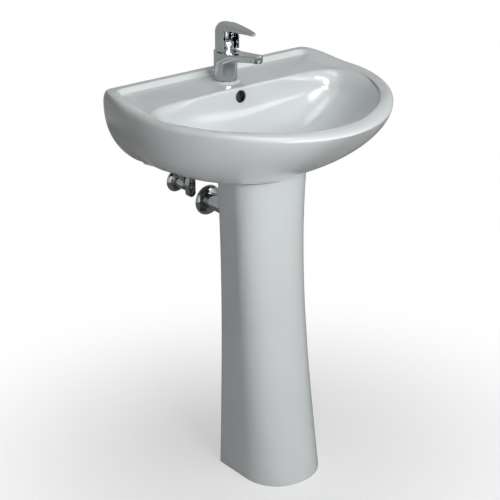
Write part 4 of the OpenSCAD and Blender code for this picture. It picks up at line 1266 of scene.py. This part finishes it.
class Grower(NodeMaker):
    """A geometry node tree with named inputs; it ends in plain geometry with one finish."""

    def __init__(self, name, **inputs):
        super().__init__(bpy.data.node_groups.new(name, "GeometryNodeTree"))
        face = self.tree.interface
        for label, default in inputs.items():
            kind = "NodeSocketInt" if isinstance(default, int) else "NodeSocketFloat"
            face.new_socket(label, in_out="INPUT", socket_type=kind).default_value = default
        face.new_socket("Material", in_out="INPUT", socket_type="NodeSocketMaterial")
        face.new_socket("Geometry", in_out="OUTPUT", socket_type="NodeSocketGeometry")
        entry = self.tree.nodes.new("NodeGroupInput")
        self.given = {socket.name: Value(self, socket) for socket in entry.outputs if socket.name}

    def close(self, geometry):
        real = self.node("GeometryNodeRealizeInstances", None, {"Geometry": geometry})
        dressing = {"Geometry": real, "Material": self.given["Material"]}
        dressed = self.node("GeometryNodeSetMaterial", None, dressing)
        self.node("NodeGroupOutput", None, {"Geometry": dressed}, None)
        return self.tree


def rib_tree():
    """Upright ribs spread evenly round a circle, for the grip of a hand-tight nut."""
    t = Grower("grip_ribs", Count=24, Radius=0.024, RibRadius=0.0008, Length=0.009)
    circle = {"Vertices": t.given["Count"], "Radius": t.given["Radius"]}
    post = {"Vertices": 8, "Radius": t.given["RibRadius"], "Depth": t.given["Length"]}
    ring = t.node("GeometryNodeMeshCircle", None, circle)
    rib = t.node("GeometryNodeMeshCylinder", None, post)
    return t.close(t.node("GeometryNodeInstanceOnPoints", None, {"Points": ring, "Instance": rib}))


def thread_tree():
    """Screw thread: a ridge that winds up round an upright axis."""
    t = Grower("screw_thread", Turns=20.0, Radius=0.004, Depth=0.0005, Length=0.05, Steps=20)
    winding = {
        "Resolution": t.given["Steps"],
        "Rotations": t.given["Turns"],
        "Start Radius": t.given["Radius"],
        "End Radius": t.given["Radius"],
        "Height": t.given["Length"],
    }
    helix = t.node("GeometryNodeCurveSpiral", None, winding)
    ridge = t.node("GeometryNodeCurvePrimitiveCircle", None, {"Resolution": 4, "Radius": t.given["Depth"]})
    sweep = {"Curve": helix, "Profile Curve": ridge, "Fill Caps": True}
    return t.close(t.node("GeometryNodeCurveToMesh", None, sweep))


def grown(name, tree, values, finish):
    """Runs a tree with the given input values and keeps the result as a plain mesh."""
    obj = new_object(name, [], [])
    modifier = obj.modifiers.new("grow", "NODES")
    modifier.node_group = tree
    sockets = {item.name: item.identifier for item in tree.interface.items_tree if item.in_out == "INPUT"}
    for label, value in {**values, "Material": FINISH[finish]}.items():
        modifier[sockets[label]] = value
    obj.update_tag()
    return clean(settle(obj), FINE_GAP)


def merge(obj, others):
    """Adds the meshes of the others to obj and removes them."""
    bm = bmesh.new()
    for part in (obj, *others):
        bm.from_mesh(part.data)
    bm.to_mesh(obj.data)
    bm.free()
    discard(others)
    return obj


def stand(obj, base, axis):
    """Moves the mesh so that its own upright axis starts at base and points along axis."""
    turn = Vector(UP).rotation_difference(Vector(axis)).to_matrix().to_4x4()
    obj.data.transform(Matrix.Translation(Vector(base) * MM) @ turn)
    return obj


def ribs(tree, radius, length, base, axis, count, rib):
    values = {"Count": count, "Radius": radius * MM, "RibRadius": rib * MM, "Length": length * MM}
    obj = grown("ribs", tree, values, "chrome")
    obj.data.transform(Matrix.Translation((0, 0, length / 2 * MM)))
    return stand(obj, base, axis)


def threaded_rod(name, tree, radius, length, base, axis, pitch, finish):
    """Rod with a chamfer at its free end and a screw thread along it."""
    depth = 0.4 * pitch
    core, run = radius - depth, length - 3
    outline = [(0, 0), (core, 0), (core, length - 1), (core - 0.6, length), (0, length)]
    rod = turned(name, outline, base, axis, finish, steps=32)
    values = {"Turns": run / pitch, "Radius": core * MM, "Depth": depth * MM, "Length": run * MM}
    thread = grown("thread", tree, {**values, "Steps": 20}, finish)
    thread.data.transform(Matrix.Translation((0, 0, MM)))
    return merge(rod, [stand(thread, base, axis)])


def hex_nut(name, radius, base, axis, height, bore, finish):
    """Six-sided nut with its corners chamfered at both ends."""
    corners = [(radius * math.cos(a), radius * math.sin(a)) for a in np.radians(np.arange(0, 360, 60))]
    up = TO_WALL if abs(axis[2]) > 0.5 else UP
    nut = clean(new_object(name, *prism_mesh(corners, base, axis, height, up), finish))
    cut = 0.1 * radius
    cone = [(0, -0.01), (radius - cut, -0.01), (radius + 0.01, cut * 0.6)]
    cone += [(radius + 0.01, height - cut * 0.6), (radius - cut, height + 0.01), (0, height + 0.01)]
    combine(nut, [turned("cone", cone, base, axis, finish)], "INTERSECT")
    start = Vector(base) - Vector(axis) * 5
    return clean(combine(nut, [cylinder(bore, start, axis, height + 10, 64, finish)]))


# ---- chrome: waste, trap and angle valves ----


class Plumbing:
    """Places and bores of the plumbing in millimetres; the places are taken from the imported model.

    Outlines are (radius, height) corners, each with the radius that rounds it.
    """

    pipe_r, pipe_bore_r = 16.6, 14.5
    neck_r, port_r = 20, 19.5
    shell_r, tail_r, gland_r = 8, 5.2, 6.5
    valve_reach, handle_reach = 26, 50

    def __init__(self):
        self.wall = BASIN_HIGH[1]
        self.outlet_z = middle("waste_pipe")[2]
        self.waste_y = middle("waste_plug")[1]
        self.seat_z = span("waste_seal")[0][2]
        self.under_z = self.seat_z - 11
        self.trap_split = self.outlet_z - 22
        self.trap_top = self.outlet_z + 26
        self.neck_top = self.trap_top + 34
        self.port_end = self.waste_y + 54
        self.valve_x, _, self.valve_z = middle("valve_rosette_right")
        self.valve_y = self.wall - self.valve_reach
        self.handle_y = self.wall - self.handle_reach
        self.waste_axis = (0, self.waste_y, 0)

    def waste_body(self, edge):
        """Flange in the bowl with its threaded body and the slots that take the overflow's water."""
        end, u, s = self.neck_top - 14, self.under_z, self.seat_z
        outline = [(14, end), (16, end), (16, u - 34), (19.5, u - 32), (19.5, s + 1), (31.5, s + 1)]
        outline += [(31.8, s + 2.4), (28, s + 4.2), (20, s + 3.2), (17, s - 1), (17, u - 30), (14, u - 33)]
        radii = [0.3, 0.3, 0.5, 0.5, 0.5, 0.3, edge, edge, edge, edge, 0.5, 0.5]
        obj = turned("waste_flange", rounded(outline, radii), self.waste_axis, UP)
        centre, slots = (0, self.waste_y, u + 6.5), []
        for a in np.radians((0, 90, 180, 270)):
            slots.append(cylinder(3, centre, (math.cos(a), math.sin(a), 0), 30, 32))
        return clean(combine(obj, slots))

    def plug(self, edge):
        """Push-button plug: its cap and stem."""
        u, cap = self.under_z, self.seat_z + 12.7
        outline = [(0, u - 24), (4, u - 24), (5, u - 23), (5, cap - 3), (8, cap), (28, cap), (29, cap + 1)]
        outline += [(28.4, cap + 2.4), (20, cap + 4.6), (10, cap + 5.8), (0, cap + 6.2)]
        radii = [0, 0.2, 0.2, 0.5, 0.5, 0.3, edge, edge, 12, 12, 0]
        return turned("plug_cap", rounded(outline, radii), self.waste_axis, UP)

    def trap_head(self):
        """Upper half of the bottle trap, with its neck and its port towards the wall."""
        t, s, n, y, z = self.trap_top, self.trap_split, self.neck_top, self.waste_y, self.outlet_z
        outline = [(0, s + 8), (26, s + 8), (26, s), (29, s), (29, t - 6), (27, t - 2), (22, t)]
        outline += [(self.neck_r, t + 2), (self.neck_r, n), (0, n)]
        radii = [0, 0, 0, 0.3, 3, 3, 3, 2, 0.4, 0]
        obj = turned("trap_bottle_head", rounded(outline, radii), self.waste_axis, UP)
        combine(obj, [cylinder(self.port_r, (0, y, z), TO_WALL, self.port_end - y)], "UNION")
        inside = [(0, s - 1), (26, s - 1), (26, t - 7), (20, t - 3), (0, t - 3)]
        cutters = [
            turned("cutter", inside, self.waste_axis, UP),
            cylinder(self.pipe_r, (0, y, t - 10), UP, 60),
            cylinder(self.pipe_bore_r, (0, y, z), TO_WALL, 80),
            cylinder(self.pipe_r, (0, self.port_end - 14, z), TO_WALL, 30),
        ]
        return clean(combine(obj, cutters))

    def trap_cup(self, tree, edge):
        """Lower half of the bottle trap, ribbed round its grip."""
        s = self.trap_split
        outline = [(0, s - 50), (10, s - 49.5), (22, s - 46), (27, s - 38), (27, s - 14)]
        outline += [(29.6, s - 12), (29.6, s - 2.5), (24.5, s - 2.5), (24.5, s - 36), (20, s - 43)]
        outline += [(9, s - 46.5), (0, s - 47)]
        radii = [0, 12, 9, 9, 2, edge, edge, 0.3, 6, 6, 9, 0]
        obj = turned("trap_bottle_cup", rounded(outline, radii), self.waste_axis, UP)
        return merge(obj, [ribs(tree, 29.6, 7.5, (0, self.waste_y, s - 11), UP, 40, 0.85)])

    def slip_nut(self, name, tree, grip_r, base, axis, bore, throat, shoulder):
        """Round nut that closes a slip joint by hand, ribbed round its grip."""
        outline = [(bore, 0), (grip_r - 0.6, 0), (grip_r - 0.3, 1), (grip_r - 0.3, 12), (shoulder, 15)]
        outline += [(throat, 15), (throat, 13), (bore, 13)]
        obj = turned(name, rounded(outline, [0.2, 0.5, 0.5, 1.5, 0.8, 0.4, 0.2, 0.2]), base, axis)
        start = Vector(base) + Vector(axis) * 1.6
        return merge(obj, [ribs(tree, grip_r - 0.5, 9.5, start, axis, 36, 0.49)])

    def valve_body(self, s, edge):
        """Shell of an angle valve, bored for its pipe, its gland and its tail."""
        x, y, z = s * self.valve_x, self.valve_y, self.valve_z
        outline = [(0, 0), (8, 0), (8, 9.5), (10, 12), (11.5, 14), (11.5, 36), (10, 38), (0, 38)]
        radii = [0, 0.2, 0.5, 1, 1.5, 1.2, edge, 0]
        obj = turned("valve_shell", rounded(outline, radii), (x, self.wall, z), FROM_WALL)
        combine(obj, [cylinder(self.shell_r, (x, y, z), UP, 25)], "UNION")
        cutters = [
            cylinder(5, (x, self.wall - 24, z), TO_WALL, 40),
            cylinder(self.gland_r, (x, self.wall - 41, z), TO_WALL, 12),
            cylinder(4, (x, y, z), UP, 40),
            cylinder(self.tail_r, (x, y, z + 16), UP, 40),
        ]
        return clean(combine(obj, cutters))

    def handle(self, s):
        """Oval handle with a stem; pockets at the back, a seat for its cap in front."""
        x, y, z = s * self.valve_x, self.handle_y, self.valve_z
        end_r, end_h, depth = 9, 12, 14
        plan = circle_arc((0, end_h), end_r, 0, 180, 32) + circle_arc((0, -end_h), end_r, 180, 360, 32)
        mesh = prism_mesh(plan, (x, y + depth / 2, z), FROM_WALL, depth, UP)
        obj = bevel(clean(new_object("oval", *mesh, "chrome")), 1.6, 50, 4)
        combine(obj, [cylinder(3, (x, y + 18, z), FROM_WALL, 12, 40)], "UNION")
        cutters = [cylinder(5.1, (x, y - 5, z), FROM_WALL, 10, 48)]
        cutters += [cylinder(6.2, (x, y + 8, z + k * 13), FROM_WALL, 8, 48) for k in (-1, 1)]
        return clean(combine(obj, cutters))

    def tail_nut(self, s):
        """Compression nut of the copper tail, with a turned collar above its hexagon."""
        x, y, z = s * self.valve_x, self.valve_y, self.valve_z
        base, bore = (x, y, z + 19), 5.15
        nut = hex_nut("tail_hex", 10.6, base, UP, 11, bore, "chrome")
        collar = [(bore, 10.5), (9, 10.5), (9, 11), (7.5, 13), (bore, 13)]
        combine(nut, [turned("collar", collar, base, UP, steps=64)], "UNION")
        return clean(combine(nut, [cylinder(self.shell_r + 0.05, (x, y, z + 10), UP, 18, 64)]))

    def wall_cover(self, x, z, outline, radii):
        return turned("cover", rounded(outline, radii), (x, self.wall, z), FROM_WALL)


class SINK_OT_plumbing(bpy.types.Operator):
    """Make the chrome waste, bottle trap, slip nuts, wall flanges and angle valves"""

    bl_idname = "sink.plumbing"
    bl_label = "Plumbing"

    def execute(self, context):
        edge = context.scene.sink_sizes.edge_round / MM
        p, tree = Plumbing(), rib_tree()

        def fixed(obj, name, node, body="fixture"):
            hand_over(obj, body, [node], 30).name = name

        fixed(p.waste_body(edge), "waste_flange", "waste_body")
        fixed(p.plug(edge), "plug_cap", "waste_plug", "plug")
        fixed(p.trap_head(), "trap_bottle_head", "trap_head")
        fixed(p.trap_cup(tree, edge), "trap_bottle_cup", "trap_cup")
        inlet, outlet = (0, p.waste_y, p.neck_top - 10), (0, p.port_end - 10, p.outlet_z)
        nut = p.slip_nut("slip_in", tree, 24.6, inlet, UP, 20.1, 16.4, 22)
        fixed(nut, "slip_nut_inlet", "inlet_nut")
        nut = p.slip_nut("slip_out", tree, 24.2, outlet, TO_WALL, 19.6, 16.4, 21.5)
        fixed(nut, "slip_nut_outlet", "outlet_nut")
        flange = [(16.2, 0), (33, 0), (33, 2), (31, 5.5), (26, 8.5), (20, 10), (16.2, 10.4)]
        cover = p.wall_cover(0, p.outlet_z, flange, [0, 0.4, edge, 4, 8, 6, 0.4])
        fixed(cover, "waste_wall_cover", "waste_rosette")
        nut = hex_nut("back", 31, (0, p.waste_y, p.under_z - 13), UP, 9, 19.6, "chrome")
        fixed(nut, "waste_hex_nut", "waste_backnut")
        flange = [(8.2, 0), (24, 0), (24, 2), (22.5, 5), (18, 7.5), (13, 8.8), (8.2, 9)]
        cap_outline = rounded([(0, 0), (5, 0), (5, 2), (4, 2.8), (0, 3)], [0, 0.1, 0.5, 1, 0])
        for side, s in SIDES:
            x, z, handle = s * p.valve_x, p.valve_z, f"handle_{side}"
            cover = p.wall_cover(x, z, flange, [0, 0.4, edge, 3, 6, 5, 0.4])
            fixed(cover, f"valve_wall_cover_{side}", f"valve_rosette_{side}")
            fixed(p.valve_body(s, edge), f"valve_shell_{side}", f"valve_body_{side}")
            fixed(p.handle(s), f"oval_handle_{side}", f"valve_handle_{side}", handle)
            cap = turned("cap", cap_outline, (x, p.handle_y - 5, z), FROM_WALL, steps=64)
            fixed(cap, f"handle_cap_{side}", f"valve_cap_{side}", handle)
            fixed(p.tail_nut(s), f"tail_hex_nut_{side}", f"tail_nut_{side}")
        return {"FINISHED"}


class SINK_OT_fixings(bpy.types.Operator):
    """Make the threaded rods that hold the basin to the wall and the tap to the basin, with their nuts"""

    bl_idname = "sink.fixings"
    bl_label = "Threaded fixings"

    def execute(self, context):
        tree = thread_tree()
        low, high = span("tap_stud")
        x, y, _ = middle("tap_stud")
        radius, length = (high[0] - low[0]) / 2, high[2] - low[2]
        rod = threaded_rod("tap_rod", tree, radius, length, (x, y, low[2]), UP, 1.25, "brass")
        hand_over(rod, "fixture", ["tap_stud"], 25)
        low, high = span("tap_nut")
        nut = hex_nut("tap_long_nut", 7, (x, y, low[2]), UP, high[2] - low[2], 4.05, "brass")
        hand_over(nut, "fixture", ["tap_nut"], 25)
        radius, bore = 5, 5.05
        section = [(bore, 0), (11, 0), (11, 2), (bore, 2)]
        for side, _ in SIDES:
            low, high = span(f"wall_stud_{side}")
            x, _, z = middle(f"wall_stud_{side}")
            length, end = high[1] - low[1], (x, high[1], z)
            rod = threaded_rod(f"wall_rod_{side}", tree, radius, length, end, FROM_WALL, 1.5, "steel")
            hand_over(rod, "fixture", [f"wall_stud_{side}"], 25)
            start = (x, span(f"wall_nut_{side}")[1][1], z)
            nut = hex_nut(f"wall_hex_nut_{side}", 9.4, (x, start[1] - 2, z), FROM_WALL, 8, bore, "steel")
            washer = turned("washer", section, start, FROM_WALL, "steel", 0.2, 64)
            hand_over(merge(nut, [washer]), "fixture", [f"wall_nut_{side}"], 25)
        return {"FINISHED"}


# ---- CAD nodes that keep their own shape ----

# finish: a slot name, then the nodes that wear it
PLAIN_NODES = {
    "filler": ("seal_strip", "pedestal_seal"),
    "rubber": (
        "rubber",
        "tap_base_seal tap_pad aerator_seal plug_ring waste_seal waste_washer"
        " cup_seal inlet_seal outlet_seal",
    ),
    "plastic": (
        "plastic",
        "wall_bush_left wall_bush_right cartridge_body cartridge_turntable dip_tube aerator_insert",
    ),
    "brass": ("brass", "cartridge_pin cartridge_nut plug_guide"),
    "steel": ("steel", "cartridge_stem tap_clamp lever_screw floor_screw_left floor_screw_right"),
    "copper": ("copper", "tap_tail_left tap_tail_right"),
    "index": ("index", "index_button"),
    "chrome": ("chrome", "waste_pipe valve_gland_left valve_gland_right"),
}


class SINK_OT_nodes(bpy.types.Operator):
    """Give each CAD node that keeps its own shape its finish"""

    bl_idname = "sink.nodes"
    bl_label = "Kept parts"

    def execute(self, context):
        for finish, (slot, names) in PLAIN_NODES.items():
            for name in names.split():
                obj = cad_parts[name]
                obj.data.materials.clear()
                obj.data.materials.append(FINISH[finish])
        return {"FINISHED"}


# ---- stage ----


def stage_floor(colour):
    """Matt floor that is white where it is seen directly, but for a soft shade under the object."""
    g = Finish("studio_floor")
    tone = g.cloud(g.noise(3, 2), 0.3, 0.7, colour, 0.995, 1.0)
    matt = g.node("ShaderNodeBsdfDiffuse", None, {"Color": tone})
    white = g.node("ShaderNodeEmission", None, {"Color": WHITE, "Strength": 1.0})
    reach = g.node("ShaderNodeVectorMath", {"operation": "LENGTH"}, {0: g.object_place}, "Value")
    share = g.seen_directly() * g.ramp(reach, 0.12, 0.9, 0.55, 1.0)
    return g.close(g.node("ShaderNodeMixShader", None, {0: share, 1: matt, 2: white}))


def area_light(name, place, target, width, height, power_w):
    light = bpy.data.lights.new(name, "AREA")
    light.shape = "RECTANGLE"
    light.size, light.size_y = width, height
    light.energy = power_w
    obj = bpy.data.objects.new(name, light)
    obj.location = place
    obj.rotation_euler = (Vector(place) - Vector(target)).to_track_quat("Z", "Y").to_euler()
    bpy.context.scene.collection.objects.link(obj)


def studio_card(name, points, faces, grey, fade=None):
    """Plain grey board round the object that only reflections see; it fades to white towards the front."""
    g = Finish(name)
    tone = g.cloud(g.noise(2, 1), 0.3, 0.7, (grey,) * 3, 0.94, 1.06)
    if fade:
        towards_front = {0: g.object_place, 1: FROM_WALL}
        forward = g.node("ShaderNodeVectorMath", {"operation": "DOT_PRODUCT"}, towards_front, "Value")
        tone = g.mix(g.ramp(forward, fade[0] * MM, fade[1] * MM), tone, WHITE)
    card = new_object(name, points, faces)
    card.data.materials.append(g.close(g.node("ShaderNodeEmission", None, {"Color": tone, "Strength": 1.0})))
    card.visible_camera = card.visible_diffuse = card.visible_shadow = card.visible_transmission = False


def ring_card(name, radius, low, high, start, end, grey, fade=None, steps=24):
    """Part of an upright cylinder round the object; angles in degrees, lengths in millimetres."""
    plan = circle_arc((0, 0), radius, start, end, steps)
    points = [(x, y, z) for z in (low, high) for x, y in plan]
    n = len(plan)
    studio_card(name, points, [(i, i + 1, n + i + 1, n + i) for i in range(n - 1)], grey, fade)


def flat_card(name, radius, height, grey):
    """Round board over or under the object."""
    plan = circle_arc((0, 0), radius, 0, 352.5, 47)
    studio_card(name, [(x, y, height) for x, y in plan], [list(range(len(plan)))], grey)


# name, place, target, width, height, power in watts
STUDIO_LIGHTS = (
    ("front", (-0.4, -1.7, 1.5), (0, 0, 0.8), 0.6, 0.5, 13),
    ("front_high", (0.3, -1.5, 1.6), (0, 0, 0.8), 0.6, 0.5, 6.5),
    ("front_right", (0.95, -1.35, 1.0), (0, 0, 0.72), 0.5, 0.6, 3.4),
    ("front_left", (-1.3, -1.5, 0.8), (0, 0, 0.65), 0.5, 0.9, 5),
    ("top", (0, -0.3, 2.5), (0, 0, 0.8), 1.2, 1.0, 9.5),
)
# name, radius, low, high, start and end angle, grey level, reach to the front between which it fades to white
STUDIO_WALLS = (
    ("wall_back", 1900, 0, 2500, 20, 176, 0.42),
    ("wall_left", 1900, 0, 2500, 178, 248, 0.42, (1350, 1760)),
    ("wall_front", 1900, 0, 620, 244, 312, 0.30),
    ("wall_right", 1900, 0, 2500, 306, 380, 0.36, (850, 1530)),
)

# name, radius, height, grey level
STUDIO_BOARDS = (("ground_board", 1890, 1, 0.14), ("sky_board", 2400, 3000, 0.38))

FLOOR_HALF, FLOOR_Z = 6000, -0.2
CAMERA_AZIMUTH, CAMERA_ELEVATION = -38.816, 23.313

CAMERA_DISTANCE = 2.9998
CAMERA_TARGET = (-0.06433, 0.0, 0.50665)
CAMERA_LENS = 107.97
CAMERA_SHIFT_Y = 0.0093
CAMERA_SENSOR = 36
CAMERA_CLIP = (0.1, 60)



class SINK_OT_stage(bpy.types.Operator):
    """Set the floor, the soft lights, the world and the camera"""

    bl_idname = "sink.stage"
    bl_label = "Stage"

    def execute(self, context):
        scene = context.scene
        size = FLOOR_HALF
        corners = [(x, y, FLOOR_Z) for x, y in ((-size, -size), (size, -size), (size, size), (-size, size))]
        floor = new_object("floor", corners, [(0, 1, 2, 3)])
        floor.data.materials.append(stage_floor(tuple(scene.sink_finishes.floor)))

        scene.world = bpy.data.worlds.new("studio")
        scene.world.use_nodes = True
        w = NodeMaker(scene.world.node_tree)
        soft = w.node("ShaderNodeBackground", None, {"Color": (0.93, 0.96, 0.97), "Strength": 0.03})
        white = w.node("ShaderNodeBackground", None, {"Color": WHITE, "Strength": 1.0})
        sky = w.node("ShaderNodeMixShader", None, {0: w.seen_directly(), 1: soft, 2: white})
        w.node("ShaderNodeOutputWorld", None, {"Surface": sky}, None)

        for light in STUDIO_LIGHTS:
            area_light(*light)
        for wall in STUDIO_WALLS:
            ring_card(*wall)
        for board in STUDIO_BOARDS:
            flat_card(*board)

        scene.view_settings.view_transform = "Standard"
        a, e = math.radians(CAMERA_AZIMUTH), math.radians(CAMERA_ELEVATION)
        back = Vector((math.sin(a) * math.cos(e), -math.cos(a) * math.cos(e), math.sin(e)))
        data = bpy.data.cameras.new("camera")
        data.sensor_width = CAMERA_SENSOR
        data.lens = CAMERA_LENS
        data.shift_y = CAMERA_SHIFT_Y
        data.clip_start, data.clip_end = CAMERA_CLIP
        camera = bpy.data.objects.new("camera", data)
        camera.location = Vector(CAMERA_TARGET) + back * CAMERA_DISTANCE
        camera.rotation_euler = back.to_track_quat("Z", "Y").to_euler()
        scene.collection.objects.link(camera)
        scene.camera = camera
        return {"FINISHED"}


OPERATORS = (
    SINK_OT_basin,
    SINK_OT_pedestal,
    SINK_OT_tap,
    SINK_OT_plumbing,
    SINK_OT_fixings,
    SINK_OT_nodes,
    SINK_OT_stage,
)



class SINK_PT_panel(bpy.types.Panel):
    """Sizes, colours and the parts of the basin"""

    bl_label = "Pedestal basin"
    bl_idname = "SINK_PT_panel"
    bl_space_type = "VIEW_3D"
    bl_region_type = "UI"
    bl_category = "Basin"

    def draw(self, context):
        layout = self.layout
        for group in (context.scene.sink_sizes, context.scene.sink_finishes):
            box = layout.box()
            for name in group.__annotations__:
                box.prop(group, name)
        for operator in OPERATORS:
            layout.operator(operator.bl_idname)


CLASSES = (SinkSizes, SinkFinishes, *OPERATORS, SINK_PT_panel)


def register():
    for made in CLASSES:
        bpy.utils.register_class(made)
    bpy.types.Scene.sink_sizes = bpy.props.PointerProperty(type=SinkSizes)
    bpy.types.Scene.sink_finishes = bpy.props.PointerProperty(type=SinkFinishes)


def unregister():
    del bpy.types.Scene.sink_finishes
    del bpy.types.Scene.sink_sizes
    for made in reversed(CLASSES):
        bpy.utils.unregister_class(made)


def main():
    register()
    FINISH.update(all_materials())
    for operator in OPERATORS:
        group, name = operator.bl_idname.split(".")
        getattr(getattr(bpy.ops, group), name)()


if __name__ == "__main__":
    main()
